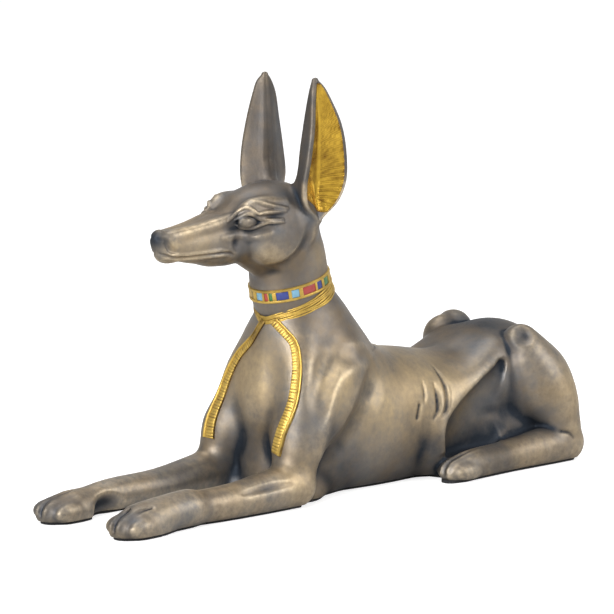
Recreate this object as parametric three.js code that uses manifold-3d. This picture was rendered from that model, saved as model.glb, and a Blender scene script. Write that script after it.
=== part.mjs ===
// A recumbent jackal figure, cast in one piece with its collar and tied cord, and its felt underside.
// Millimetres, +Z up. The jackal looks along -Y and its left side is +X.
// The casting is modelled like clay: rounded forms are blended into one signed distance field (negative
// inside), which is given a surface, thinned to fewer triangles and cut flat below.
import * as THREE from "three";
import { triTable } from "three/addons/objects/MarchingCubes.js";
import Module from "manifold-3d";

// Driving dimensions
const FIGURE_LENGTH = 243; // paw tips to rump
const FELT_THICKNESS = 1.2;
const FELT_INSET = 0.9; // the felt is cut this much inside the cast outline
const COLLAR_HEIGHT = 5.2;
const COLLAR_RELIEF = 0.8;
const CORD_STRANDS = 3;
const CORD_THICKNESS = 1.7; // of one strand
const STREAMER_WIDTH = 3.8;
const STREAMER_RELIEF = 1;
const BODY_TRIANGLES = 6700;

// The clay's numbers are shares of a figure 243 long, cut flat at the ground height.
const SHARE = FIGURE_LENGTH / 243;
const GROUND = 1.2;
const CLAY_STEP = 1; // spacing of the field's samples

const wasm = await Module();
wasm.setup();

// Forms: each is a signed distance and the box that it fills

// An ellipsoid with its centre, half sizes and turn in degrees about X, Y and Z.
function ball([cx, cy, cz], [rx, ry, rz], turn = [0, 0, 0]) {
  const euler = new THREE.Euler(...turn.map(THREE.MathUtils.degToRad));
  const m = new THREE.Matrix4().makeRotationFromEuler(euler).elements;
  const least = Math.min(rx, ry, rz);
  const distance = (x, y, z) => {
    const [px, py, pz] = [x - cx, y - cy, z - cz];
    const a = (m[0] * px + m[1] * py + m[2] * pz) / rx;
    const b = (m[4] * px + m[5] * py + m[6] * pz) / ry;
    const c = (m[8] * px + m[9] * py + m[10] * pz) / rz;
    const near = Math.sqrt(a * a + b * b + c * c);
    const slope = Math.sqrt((a / rx) ** 2 + (b / ry) ** 2 + (c / rz) ** 2);
    return slope < 1e-6 ? -least : (near * (near - 1)) / slope;
  };
  const reach = [0, 1, 2].map((i) => Math.hypot(m[i] * rx, m[i + 4] * ry, m[i + 8] * rz));
  return {
    distance,
    low: [cx - reach[0], cy - reach[1], cz - reach[2]],
    high: [cx + reach[0], cy + reach[1], cz + reach[2]],
  };
}

// A smooth run of [x, y, z, radius] through a few given ones.
function smooth(stations, perSpan = 4) {
  if (stations.length < 3) return stations;
  const points = stations.map(([x, y, z]) => new THREE.Vector3(x, y, z));
  const line = new THREE.CatmullRomCurve3(points, false, "centripetal");
  const sizes = new THREE.SplineCurve(stations.map((s, i) => new THREE.Vector2(i, s[3])));
  const count = (stations.length - 1) * perSpan;
  return Array.from({ length: count + 1 }, (_, i) => [
    ...line.getPoint(i / count).toArray(),
    sizes.getPoint(i / count).y,
  ]);
}

// A round bar whose radius changes along its stations, stretched sideways (X) by a factor.
function limb(stations, wide = 1) {
  const path = smooth(stations).map(([x, y, z, r]) => [x / wide, y, z, r]);
  const spans = path.slice(1).map((b, i) => {
    const a = path[i];
    const d = [b[0] - a[0], b[1] - a[1], b[2] - a[2]];
    const long = d[0] ** 2 + d[1] ** 2 + d[2] ** 2;
    const taper = a[3] - b[3];
    return { a, d, long, taper, flank: long - taper * taper };
  });
  const scale = Math.min(1, wide);
  const distance = (x, y, z) => {
    let best = Infinity;
    for (const { a, d, long, taper, flank } of spans) {
      const [px, py, pz] = [x / wide - a[0], y - a[1], z - a[2]];
      const along = px * d[0] + py * d[1] + pz * d[2];
      const rest = along - long;
      const ox = px * long - d[0] * along;
      const oy = py * long - d[1] * along;
      const oz = pz * long - d[2] * along;
      const aside = ox * ox + oy * oy + oz * oz;
      const before = along * along * long;
      const beyond = rest * rest * long;
      const k = Math.sign(taper) * taper * taper * aside;
      let d1;
      if (Math.sign(rest) * flank * beyond > k) d1 = Math.sqrt(aside + beyond) / long - a[3] + taper;
      else if (Math.sign(along) * flank * before < k) d1 = Math.sqrt(aside + before) / long - a[3];
      else d1 = (Math.sqrt((aside * flank) / long) + along * taper) / long - a[3];
      if (d1 < best) best = d1;
    }
    return best * scale;
  };
  const side = (pick, sign) =>
    [wide, 1, 1].map((f, i) => f * pick(...path.map((s) => s[i] + sign * s[3])));
  return { distance, low: side(Math.min, -1), high: side(Math.max, 1) };
}

// A curved sheet of even thickness. Each rail is a height with the [x, y] of three points, and the level
// section of the sheet bends through them.
function sheet(rails, half) {
  const curves = [1, 2, 3].map((n) => {
    const points = rails.map((r) => new THREE.Vector3(...r[n], r[0]));
    return new THREE.CatmullRomCurve3(points, false, "centripetal");
  });
  const heights = rails.map((r) => r[0]);
  const [bottom, top] = [heights[0], heights.at(-1)];
  const slices = Array.from({ length: Math.ceil((top - bottom) * 2) + 1 }, (_, i) => {
    const z = Math.min(bottom + i / 2, top);
    const [a, m, b] = curves.map((curve) => {
      let [low, high] = [0, 1];
      for (let n = 0; n < 20; n++) {
        const half = (low + high) / 2;
        if (curve.getPoint(half).z < z) low = half;
        else high = half;
      }
      return curve.getPoint(low);
    });
    const bend = new THREE.CatmullRomCurve3([a, m, b], false, "centripetal");
    return bend.getPoints(10).map((p) => [p.x, p.y]);
  });
  const distance = (x, y, z) => {
    const level = THREE.MathUtils.clamp(z, bottom, top);
    const line = slices[Math.round((level - bottom) * 2)];
    let best = Infinity;
    for (let i = 1; i < line.length; i++) {
      const [ax, ay] = line[i - 1];
      const [dx, dy] = [line[i][0] - ax, line[i][1] - ay];
      const long = dx * dx + dy * dy || 1e-9;
      const t = Math.min(1, Math.max(0, ((x - ax) * dx + (y - ay) * dy) / long));
      const away = (x - ax - t * dx) ** 2 + (y - ay - t * dy) ** 2;
      if (away < best) best = away;
    }
    return Math.sqrt(best + (z - level) ** 2) - half;
  };
  const all = rails.flatMap((r) => [1, 2, 3].map((n) => [...r[n], r[0]]));
  const end = (pick, sign) => [0, 1, 2].map((i) => pick(...all.map((p) => p[i])) + sign * half);
  return { distance, low: end(Math.min, -1), high: end(Math.max, 1) };
}

// The same form on the other side of the body.
const mirrored = ({ distance, low, high }) => ({
  distance: (x, y, z) => distance(-x, y, z),
  low: [-high[0], low[1], low[2]],
  high: [-low[0], high[1], high[2]],
});

// The union of two distances with the seam rounded over a width.
function blend(a, b, width) {
  const near = width > 0 ? Math.max(width - Math.abs(a - b), 0) / width : 0;
  return Math.min(a, b) - (near * near * width) / 4;
}

// Clay: the field on a regular grid of samples
class Clay {
  constructor(low, high, step) {
    Object.assign(this, { low, step });
    this.count = low.map((v, i) => Math.ceil((high[i] - v) / step) + 1);
    this.field = new Float32Array(this.count.reduce((a, b) => a * b)).fill(20);
  }

  index(i, j, k) {
    return i + this.count[0] * (j + this.count[1] * k);
  }

  // Mixes a form into every sample within its reach.
  change(form, width, mix) {
    const reach = width + 2 * this.step;
    const cell = (v, i) => (v - this.low[i]) / this.step;
    const from = form.low.map((v, i) => Math.max(0, Math.floor(cell(v - reach, i))));
    const to = form.high.map((v, i) => Math.min(this.count[i] - 1, Math.ceil(cell(v + reach, i))));
    for (let k = from[2]; k <= to[2]; k++)
      for (let j = from[1]; j <= to[1]; j++)
        for (let i = from[0]; i <= to[0]; i++) {
          const n = this.index(i, j, k);
          const [x, y, z] = [i, j, k].map((v, d) => this.low[d] + v * this.step);
          this.field[n] = mix(this.field[n], form.distance(x, y, z));
        }
  }

  add(form, width = 0) {
    this.change(form, width, (a, b) => blend(a, b, width));
  }

  cut(form, width = 0) {
    this.change(form, width, (a, b) => -blend(-a, b, width));
  }

  addPair(form, width) {
    this.add(form, width);
    this.add(mirrored(form), width);
  }

  cutPair(form, width) {
    this.cut(form, width);
    this.cut(mirrored(form), width);
  }

  at(x, y, z) {
    const p = [x, y, z].map((v, i) =>
      THREE.MathUtils.clamp((v - this.low[i]) / this.step, 0, this.count[i] - 1.001),
    );
    const [i, j, k] = p.map(Math.floor);
    const [u, v, w] = [p[0] - i, p[1] - j, p[2] - k];
    const row = (dj, dk) => {
      const n = this.index(i, j + dj, k + dk);
      return this.field[n] * (1 - u) + this.field[n + 1] * u;
    };
    const level = (dk) => row(0, dk) * (1 - v) + row(1, dk) * v;
    return level(0) * (1 - w) + level(1) * w;
  }

  // The first surface point from a start along a direction.
  hit(start, direction, reach = 90) {
    for (let t = 0; t < reach; t += this.step / 5) {
      const p = start.map((v, i) => v + direction[i] * t);
      if (this.at(...p) < 0) return p;
    }
    throw new Error("no surface that way");
  }

  // Triangles of the surface, closed where it would leave the grid.
  surface() {
    const [nx, ny, nz] = this.count;
    for (let n = 0; n < this.field.length; n++) {
      const at = [n % nx, Math.floor(n / nx) % ny, Math.floor(n / (nx * ny))];
      const border = at.some((v, d) => v === 0 || v === this.count[d] - 1);
      if (border) this.field[n] = Math.max(this.field[n], this.step);
    }
    const corners = [
      [0, 0, 0], [1, 0, 0], [1, 1, 0], [0, 1, 0], [0, 0, 1], [1, 0, 1], [1, 1, 1], [0, 1, 1],
    ];
    const edges = [
      [0, 1], [1, 2], [3, 2], [0, 3], [4, 5], [5, 6], [7, 6], [4, 7], [0, 4], [1, 5], [2, 6], [3, 7],
    ].map(([a, b]) => {
      const axis = corners[a].findIndex((v, i) => v !== corners[b][i]);
      return { a: corners[a], b: corners[b], axis };
    });
    const offset = corners.map((c) => this.index(...c));
    const points = [];
    const triangles = [];
    const known = new Map();
    for (let k = 0; k < nz - 1; k++)
      for (let j = 0; j < ny - 1; j++)
        for (let i = 0; i < nx - 1; i++) {
          const n = this.index(i, j, k);
          let shape = 0;
          for (let c = 0; c < 8; c++) if (this.field[n + offset[c]] < 0) shape |= 1 << c;
          if (shape === 0 || shape === 255) continue;
          for (let t = shape * 16; triTable[t] !== -1; t++) {
            const { a, b, axis } = edges[triTable[t]];
            const na = n + this.index(...a);
            const id = na * 3 + axis;
            if (!known.has(id)) {
              const va = this.field[na];
              const share = THREE.MathUtils.clamp(va / (va - this.field[n + this.index(...b)]), 0.03, 0.97);
              known.set(id, points.length);
              points.push(
                [i, j, k].map((g, d) => this.low[d] + this.step * (g + a[d] + share * (b[d] - a[d]))),
              );
            }
            triangles.push(known.get(id));
          }
        }
    return { points, triangles };
  }
}

// Fewer triangles for the same surface: the edge whose loss moves the surface least goes first.
// Each point carries the planes that met at it, as the ten numbers of a symmetric square form.
function thinned({ points, triangles }, wanted) {
  const at = points.map((p) => [...p]);
  const faces = [];
  for (let t = 0; t < triangles.length; t += 3) faces.push(triangles.slice(t, t + 3));
  const around = at.map(() => new Set());
  faces.forEach((f, id) => f.forEach((v) => around[v].add(id)));
  const forms = at.map(() => new Float64Array(10));
  const normalOf = (a, b, c) => {
    const u = [b[0] - a[0], b[1] - a[1], b[2] - a[2]];
    const v = [c[0] - a[0], c[1] - a[1], c[2] - a[2]];
    return [u[1] * v[2] - u[2] * v[1], u[2] * v[0] - u[0] * v[2], u[0] * v[1] - u[1] * v[0]];
  };
  const addPlane = (form, n, d, weight) => {
    const v = [...n, d];
    let slot = 0;
    for (let i = 0; i < 4; i++) for (let j = i; j < 4; j++) form[slot++] += weight * v[i] * v[j];
  };
  for (const [a, b, c] of faces) {
    const n = normalOf(at[a], at[b], at[c]);
    const size = Math.hypot(...n) || 1e-12;
    const unit = n.map((v) => v / size);
    const d = -(unit[0] * at[a][0] + unit[1] * at[a][1] + unit[2] * at[a][2]);
    for (const v of [a, b, c]) addPlane(forms[v], unit, d, size);
  }
  // A faint pull to where the point was keeps the triangles of flat places even.
  at.forEach((p, v) =>
    [[1, 0, 0], [0, 1, 0], [0, 0, 1]].forEach((n, i) => addPlane(forms[v], n, -p[i], 2e-3)),
  );
  const errorAt = (q, [x, y, z]) =>
    q[0] * x * x + 2 * q[1] * x * y + 2 * q[2] * x * z + 2 * q[3] * x + q[4] * y * y +
    2 * q[5] * y * z + 2 * q[6] * y + q[7] * z * z + 2 * q[8] * z + q[9];
  const bestPoint = (q) => {
    const [a, b, c, d, e, f, g, h, i] = q;
    const m = [e * h - f * f, c * f - b * h, b * f - c * e, a * h - c * c, b * c - a * f, a * e - b * b];
    const det = a * m[0] + b * m[1] + c * m[2];
    if (Math.abs(det) < 1e-12) return null;
    return [
      -(m[0] * d + m[1] * g + m[2] * i) / det,
      -(m[1] * d + m[3] * g + m[4] * i) / det,
      -(m[2] * d + m[4] * g + m[5] * i) / det,
    ];
  };
  const heap = [];
  const push = (entry) => {
    let i = heap.push(entry) - 1;
    while (i > 0) {
      const up = (i - 1) >> 1;
      if (heap[up].cost <= entry.cost) break;
      heap[i] = heap[up];
      i = up;
    }
    heap[i] = entry;
  };
  const pop = () => {
    const first = heap[0];
    const last = heap.pop();
    if (heap.length) {
      let i = 0;
      for (;;) {
        let down = 2 * i + 1;
        if (down >= heap.length) break;
        if (down + 1 < heap.length && heap[down + 1].cost < heap[down].cost) down++;
        if (heap[down].cost >= last.cost) break;
        heap[i] = heap[down];
        i = down;
      }
      heap[i] = last;
    }
    return first;
  };
  const age = new Int32Array(at.length);
  const offer = (a, b) => {
    const q = forms[a].map((v, i) => v + forms[b][i]);
    const middle = at[a].map((v, i) => (v + at[b][i]) / 2);
    const span = Math.hypot(...at[a].map((v, i) => v - at[b][i]));
    let spot = bestPoint(q);
    if (!spot || Math.hypot(...spot.map((v, i) => v - middle[i])) > 1.5 * span) spot = middle;
    push({ cost: errorAt(q, spot), a, b, spot, q, born: age[a] + age[b] });
  };
  const neighbours = (v) => new Set([...around[v]].flatMap((id) => faces[id]).filter((w) => w !== v));
  for (let v = 0; v < at.length; v++) for (const w of neighbours(v)) if (v < w) offer(v, w);
  let left = faces.length;
  while (left > wanted && heap.length) {
    const { a, b, spot, q, born } = pop();
    if (!around[a].size || !around[b].size || born !== age[a] + age[b]) continue;
    const mine = neighbours(a);
    if (!mine.has(b)) continue;
    const theirs = neighbours(b);
    if ([...mine].filter((v) => theirs.has(v)).length !== 2) continue;
    const turns = [a, b].some((v) =>
      [...around[v]].some((id) => {
        const f = faces[id];
        if (f.includes(a) && f.includes(b)) return false;
        const old = normalOf(...f.map((w) => at[w]));
        const now = normalOf(...f.map((w) => (w === v ? spot : at[w])));
        const size = Math.hypot(...old) * Math.hypot(...now);
        return old[0] * now[0] + old[1] * now[1] + old[2] * now[2] < 0.35 * size || size < 1e-9;
      }),
    );
    if (turns) continue;
    for (const id of [...around[b]]) {
      const f = faces[id];
      if (f.includes(a)) {
        f.forEach((v) => around[v].delete(id));
        faces[id] = null;
        left--;
      } else {
        f[f.indexOf(b)] = a;
        around[a].add(id);
      }
    }
    around[b].clear();
    at[a] = spot;
    forms[a] = q;
    age[a]++;
    age[b]++;
    for (const v of neighbours(a)) offer(a, v);
  }
  return solidFrom(at, faces.filter(Boolean).flat());
}

// A manifold-3d solid of indexed triangles, facing out.
function solidFrom(points, triangles) {
  const used = new Map();
  const vertProperties = [];
  const triVerts = Uint32Array.from(triangles, (v) => {
    if (!used.has(v)) {
      used.set(v, used.size);
      vertProperties.push(...points[v]);
    }
    return used.get(v);
  });
  const make = () =>
    new wasm.Manifold(
      new wasm.Mesh({ numProp: 3, vertProperties: Float32Array.from(vertProperties), triVerts }),
    );
  const made = make();
  if (made.volume() > 0) return made;
  for (let i = 0; i < triVerts.length; i += 3)
    [triVerts[i], triVerts[i + 1]] = [triVerts[i + 1], triVerts[i]];
  return make();
}

const clay = new Clay([-42, -130, -3], [42, 128, 166], CLAY_STEP);

// Trunk, belly and chest
clay.add(ball([0, 24, 24.5], [24, 50, 25.5]));
const spine = [
  [0, 14, 32, 18.4], [0, 40, 30.3, 18.2], [0, 62, 30, 18.2], [0, 84, 32.5, 19.8], [0, 102, 33, 19.5],
];
clay.add(limb(spine, 1.12), 8);
clay.add(limb([[0, 0, 13, 15], [0, 45, 11, 15], [0, 92, 12, 15]], 1.25), 8);
clay.add(ball([0, -7, 36], [21, 24.5, 27]), 8);
clay.add(ball([0, -11, 12], [18, 20, 20]), 6);

// Neck, skull, cheeks and muzzle
const neck = [
  [0, 7.2, 39, 25.2], [0, -4, 58, 22], [0, -6.8, 70, 16.8],
  [0, -10.5, 80, 16.4], [0, -12.6, 92, 15.8], [0, -16.2, 103, 14.6],
];
clay.add(limb(neck, 0.84), 8);
clay.add(ball([0, -24, 106], [14.5, 22, 15]), 5);
clay.addPair(ball([8.2, -37.2, 111.2], [5, 8.4, 5], [10, 0, 0]), 3.5);
clay.addPair(ball([9, -25, 97.5], [6.8, 13, 10]), 5);
clay.add(limb([[0, -75.5, 102.4, 5.2], [0, -62, 101.4, 7.4], [0, -46, 101.3, 10.2]], 0.88), 4);
clay.add(ball([0, -73.8, 98.5], [3.4, 5.4, 3.2]), 2);
clay.add(ball([0, -78.2, 104.8], [3.3, 3.2, 3.6]), 1.5);
clay.addPair(limb([[2.6, -74, 106, 1.2], [4.4, -60, 107.6, 1.5], [6, -48, 109.6, 1.8]]), 3);

// Ears: curved sheets, open outwards, on low roots
const earRails = [
  [106.5, [14, -11], [13, -10], [14, -9]],
  [113, [15.6, -17.5], [9.4, -12.6], [15.5, -1.5]],
  [120, [16.6, -19.1], [9.2, -13.2], [16.4, 1.6]],
  [130, [17.6, -17.9], [9.6, -13.2], [17.2, 1.2]],
  [142, [17.2, -15.6], [10.8, -12.4], [17, -1.2]],
  [152, [15.7, -13.7], [12.2, -11.6], [15, -5]],
  [157, [14.7, -12.4], [13.1, -11.1], [14.2, -8]],
  [159.3, [13.6, -10.9], [13.6, -10.7], [13.6, -10.3]],
];
clay.addPair(sheet(earRails, 1.1), 1.5);
clay.addPair(limb([[7.5, -14, 104, 8], [8.6, -13.4, 115, 4.6], [9.6, -12.9, 125, 0.9]]), 3);

// Shoulders and forelegs
const upperArm = [
  [9.4, -15.2, 58, 7.4], [14.8, -19.4, 47, 7.6], [17, -23.4, 33, 7.6], [19.8, -27.4, 18, 7.9],
];
clay.addPair(limb(upperArm), 6);
clay.addPair(limb([[14.6, 3, 50, 9], [17, -8, 38, 10.4], [19.4, -23.6, 25, 8.8]]), 8);
const foreleg = [[21, -29.4, 8.3, 8.7], [20.3, -60, 6.2, 7], [20.1, -86, 6.4, 6.2], [20.1, -104, 4.2, 6]];
clay.addPair(limb(foreleg), 5);
clay.addPair(ball([20.1, -106.5, 3.4], [8.4, 13.8, 7]), 3);
// The left wrist is a little fuller than the right.
clay.add(limb([[20.3, -108, 5.4, 6], [20.3, -98, 6.6, 6.2], [20.3, -84, 7.2, 6.2]]), 4);

// Haunches: a hollow under the flank fold, then thigh, knee, hock and foot
clay.add(ball([0, 96, 32], [22, 23, 20.5]), 8);
clay.addPair(limb([[13, 98, 11, 12], [16, 72, 10, 9.6], [17, 50, 10, 9]]), 5);
clay.addPair(limb([[17.5, 88, 42, 5.5], [17.4, 73, 35, 7], [16.4, 58, 27, 7.8], [16, 50, 18, 8.4]]), 6);
clay.cutPair(ball([28.5, 77, 23.5], [8, 27, 9], [33.7, 0, 0]), 1.2);
const thigh = [[21.5, 100.9, 38, 10.8], [25.2, 107.3, 26, 10.8], [27.4, 110, 14, 9]];
clay.add(limb([[19.6, 96.2, 48.7, 7.4], ...thigh]), 1.5);
clay.add(mirrored(limb([[19.5, 99, 48, 7.6], ...thigh])), 1.5);
clay.addPair(ball([21.5, 104, 30.5], [11.5, 14, 15.5]), 4);
clay.addPair(limb([[28, 112.2, 7, 8.4], [29, 80, 5.6, 6.4], [29.5, 56, 4.8, 6.2], [29.5, 47, 4, 5.4]]), 2);

// Tail: down the rump and round the right haunch on the ground
const tail = [
  [0, 105, 32, 6], [-2, 113.5, 17, 5], [-12, 115, 6, 4.6],
  [-26, 115, 4.8, 4.2], [-34.5, 107, 4.4, 3.8], [-35.5, 90, 3.8, 2.8],
];
clay.add(limb(tail), 3);

// The wrists arch clear of the ground on the inside.
clay.cutPair(ball([12, -92, 3], [6.5, 6, 7.2]), 2);

// Low fillings that join the belly to the feet and elbows on the ground
clay.add(ball([0, 103, 8], [24, 14, 13]), 4);
clay.addPair(limb([[20, 106, 2, 8.5], [20, 80, 2, 7], [20, 56, 1, 6.5]]), 3);
clay.addPair(ball([12, -19, 3], [9, 12, 7.5]), 4);

// Toes, four to a foot, and the grooves that part them
function toes([x, y], grooves, spread, radius) {
  for (const place of [-1.5, -0.5, 0.5, 1.5]) {
    const back = Math.abs(place) > 1 ? 2.8 : 0;
    const high = radius - back / 5;
    clay.addPair(ball([x + place * spread, y + back, high + 0.4], [2.7, 6.5, high]), 1.2);
  }
  for (const place of [-1, 0, 1])
    clay.cutPair(limb(grooves.map(([back, height, r]) => [x + place * spread, y + back, height, r])), 1);
}
toes([20.1, -114], [[-6.7, 2.5, 1], [-3.7, 8.5, 0.9], [9.3, 10.6, 0.4]], 4.2, 4.2);
toes([29.6, 48.5], [[-7.5, 2.5, 0.9], [-5, 8, 0.9], [13.5, 11.6, 0.6]], 3, 3.8);

// Furrows and raised lines are drawn in the side view, as [y, z], and laid on the surface.
const side = (y, z) => clay.hit([44, y, z], [-1, 0, 0]);
const drawn = (points, out, radius, thinEnds) =>
  limb(
    points.map(([y, z], i) => {
      const end = thinEnds && (i === 0 || i === points.length - 1);
      return [side(y, z)[0] + out, y, z, end ? radius / 2 : radius];
    }),
  );

// Knee hollow, rib furrows, and the arm's ridge with the soft grooves round it
clay.cutPair(ball([25, 90.8, 54.6], [4.6, 5, 3.2], [0, 40, 0]), 2);
clay.cutPair(drawn([[51.4, 42.9], [50.4, 37.2], [50.9, 31.5], [51, 27.4], [49.3, 23.9]], 0, 1.2, true), 1);
clay.cutPair(drawn([[46.1, 37.3], [45.5, 32.8], [46.5, 27.9], [45.6, 24.8]], 0, 1.1, true), 1);
clay.cutPair(drawn([[40.6, 39], [39.7, 34.6], [37.9, 31.2]], 0, 0.9, true), 1);
clay.cutPair(drawn([[34.6, 31.2], [33.9, 26]], 0, 1, false), 1);
const armRidge = [
  [-1, 52], [-4.3, 49.4], [-9.8, 45.2], [-14.6, 40.4], [-18.2, 35], [-21, 29], [-23.5, 22],
];
clay.addPair(drawn(armRidge, -3.2, 4, true), 4);
const behindArm = [[12, 49], [10, 41.7], [6.6, 36.6], [2, 29.4], [-5, 21]];
clay.cutPair(drawn(behindArm, 5.2, 5, true), 5);
const beforeArm = [[-6, 58], [-13.6, 53.3], [-18.9, 47.3], [-22.4, 40.3], [-25, 33]];
clay.cutPair(drawn(beforeArm, 4.9, 4.5, true), 3);
clay.cutPair(drawn([[-8, 51], [-3, 55.4], [3, 56.2], [10, 54.4], [15, 50]], 4.5, 4, true), 3);

// Eyes with lids, drawn-out corners and brows; then the mouth and nostrils
clay.cutPair(ball([12.6, -43, 108.6], [2.2, 6, 3]), 2);
const upperLid = [
  [-50, 109], [-46.5, 111.8], [-42.5, 113.2], [-39, 112], [-36, 109.4], [-30, 108.5], [-23, 108.3],
];
const faceLines = [
  drawn(upperLid, 0.2, 1.2, true),
  drawn([[-48.5, 107.4], [-45, 105.6], [-41, 105.8], [-37.5, 107.8]], 0, 0.9, true),
  drawn([[-39.5, 115.6], [-34, 114], [-28, 113.2], [-23.5, 113]], 0.2, 1.1, true),
];
clay.addPair(ball([10.3, -43, 108.6], [2.4, 4.6, 2.7]), 0.4);
for (const line of faceLines) clay.addPair(line, 0.5);
const mouth = [
  [-77.6, 99.1], [-73.8, 97.9], [-64.5, 97.7], [-55.2, 98.4], [-50.2, 98.2], [-46.5, 96],
];
clay.cutPair(drawn(mouth, 0, 0.9, true), 0.6);
clay.cutPair(ball([2.3, -81.6, 105.6], [1, 1.6, 0.9]), 0.4);

// From clay to millimetres, standing on the felt
const placed = ([x, y, z]) => [x * SHARE, y * SHARE, (z - GROUND) * SHARE + FELT_THICKNESS];

// A solid of a three.js geometry.
function solidOf(geometry) {
  const flat = geometry.index ? geometry.toNonIndexed() : geometry;
  const { array } = flat.attributes.position;
  const seen = new Map();
  const points = [];
  const triangles = [];
  for (let i = 0; i < array.length; i += 3) {
    const point = [...array.slice(i, i + 3)];
    const key = point.map((v) => v.toFixed(4)).join();
    if (!seen.has(key)) seen.set(key, points.push(point) - 1);
    triangles.push(seen.get(key));
  }
  return solidFrom(points, triangles);
}

// A solid with one section all along a path. The path has points with their outward directions, and the
// section has [across, out] corners.
function sweep(path, section, closed) {
  const count = path.length;
  const size = section.length;
  const points = path.flatMap(({ point, out }, i) => {
    const ahead = path[closed ? (i + 1) % count : Math.min(i + 1, count - 1)].point;
    const behind = path[closed ? (i + count - 1) % count : Math.max(i - 1, 0)].point;
    const along = ahead.clone().sub(behind).normalize();
    const across = along.clone().cross(out).normalize();
    const up = across.clone().cross(along);
    return section.map(([u, v]) =>
      point.clone().addScaledVector(across, u).addScaledVector(up, v).toArray(),
    );
  });
  const triangles = [];
  for (let i = 0; i < (closed ? count : count - 1); i++)
    for (let j = 0; j < size; j++) {
      const [here, there] = [i * size, ((i + 1) % count) * size];
      const next = (j + 1) % size;
      triangles.push(here + j, here + next, there + j, here + next, there + next, there + j);
    }
  const last = (count - 1) * size;
  for (let j = 1; j < size - 1 && !closed; j++)
    triangles.push(0, j + 1, j, last, last + j, last + j + 1);
  return solidFrom(points, triangles);
}

// A path point on the clay's surface, with the surface's outward direction.
function laid([x, y, z]) {
  const d = 0.8;
  const out = new THREE.Vector3(
    clay.at(x + d, y, z) - clay.at(x - d, y, z),
    clay.at(x, y + d, z) - clay.at(x, y - d, z),
    clay.at(x, y, z + d) - clay.at(x, y, z - d),
  ).normalize();
  return { point: new THREE.Vector3(...placed([x, y, z])), out };
}

// A ring round the neck in a tilted plane, from the height in front and the slope towards the back.
function roundNeck(height, slope, count) {
  const middle = [0, -11, height + slope * 14];
  return Array.from({ length: count }, (_, i) => {
    const angle = (i / count) * 2 * Math.PI;
    const ray = [Math.sin(angle), -Math.cos(angle), -slope * Math.cos(angle)];
    const start = middle.map((v, d) => v + ray[d] * 30);
    return laid(clay.hit(start, ray.map((v) => -v)));
  });
}

// Half sections with a raised face: [share of the width, share of the relief], sunk 1.2 mm into the body.
const band = (width, relief, bevel) =>
  [[-0.5, -1], [-0.5, 0.5], [bevel - 0.5, 1], [0.5 - bevel, 1], [0.5, 0.5], [0.5, -1]].map(([u, v]) => [
    u * width,
    v < 0 ? -1.2 : v * relief,
  ]);
const collar = sweep(roundNeck(77.8, 0.22, 32), band(COLLAR_HEIGHT, COLLAR_RELIEF, 0.08), true);

const cordWidth = CORD_STRANDS * CORD_THICKNESS;
const strands = Array.from({ length: CORD_STRANDS * 3 + 1 }, (_, i) => [
  (i * CORD_THICKNESS) / 3 - cordWidth / 2,
  CORD_THICKNESS * (i % 3 ? 0.5 : 0.15),
]);
const cordSection = [[-cordWidth / 2, -1.2], ...strands, [cordWidth / 2, -1.2]];
const cord = sweep(roundNeck(68.8, 0.39, 32), cordSection, true);

// The streamers hang from the knot along the edges of the chest, each drawn in the front view as [x, z].
const leftLine = [
  [5, 68], [10, 64.2], [13.6, 61], [16.2, 56.2], [18.2, 50], [19, 42], [18.8, 34], [18.8, 27], [18.2, 21],
];
const rightLine = [
  [0.5, 68], [-4.4, 60.6], [-11.6, 53.4], [-15.6, 45], [-17.6, 36], [-18.6, 28], [-18.8, 21.6],
];
const streamer = (points) => {
  const line = new THREE.SplineCurve(points.map(([x, z]) => new THREE.Vector2(x, z)));
  const path = line.getSpacedPoints(18).map(({ x, y: z }) => laid(clay.hit([x, -70, z], [0, 1, 0])));
  return sweep(path, band(STREAMER_WIDTH, STREAMER_RELIEF, 0.2), false);
};

const surface = clay.surface();
const body = thinned({ ...surface, points: surface.points.map(placed) }, BODY_TRIANGLES);
const below = new THREE.BoxGeometry(4 * FIGURE_LENGTH, 4 * FIGURE_LENGTH, 100);
below.translate(0, 0, FELT_THICKNESS - 50);
const figure = body
  .subtract(solidOf(below))
  .add(collar)
  .add(cord)
  .add(streamer(leftLine))
  .add(streamer(rightLine));

// The outline of the clay at a height, drawn in by an inset: the longest closed line of [x, y].
function outline(height, inset) {
  const [nx, ny] = clay.count;
  const place = (i, j) => [clay.low[0] + i * CLAY_STEP, clay.low[1] + j * CLAY_STEP];
  const value = (i, j) => clay.at(...place(i, j), height) + inset;
  const next = new Map();
  const corners = [[0, 0], [1, 0], [1, 1], [0, 1]];
  for (let i = 0; i < nx - 1; i++)
    for (let j = 0; j < ny - 1; j++) {
      const inside = corners.map(([a, b]) => value(i + a, j + b) < 0);
      const crossing = (side) => {
        const [[a, b], [c, d]] = [corners[side], corners[(side + 1) % 4]];
        const [v, w] = [value(i + a, j + b), value(i + c, j + d)];
        const share = v / (v - w);
        const spot = [i + a + share * (c - a), j + b + share * (d - b)];
        return { key: [2 * i + a + c, 2 * j + b + d].join(), spot };
      };
      for (let side = 0; side < 4; side++) {
        if (!inside[side] || inside[(side + 1) % 4]) continue;
        let other = side;
        do other = (other + 3) % 4;
        while (inside[other] === inside[(other + 1) % 4] || !inside[(other + 1) % 4]);
        const [from, to] = [crossing(other), crossing(side)];
        next.set(to.key, { spot: to.spot, after: from.key });
      }
    }
  let longest = [];
  while (next.size) {
    const line = [];
    for (let key = next.keys().next().value; next.has(key); ) {
      const { spot, after } = next.get(key);
      next.delete(key);
      line.push(spot);
      key = after;
    }
    if (line.length > longest.length) longest = line;
  }
  return longest.map(([i, j]) => place(i, j));
}

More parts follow.
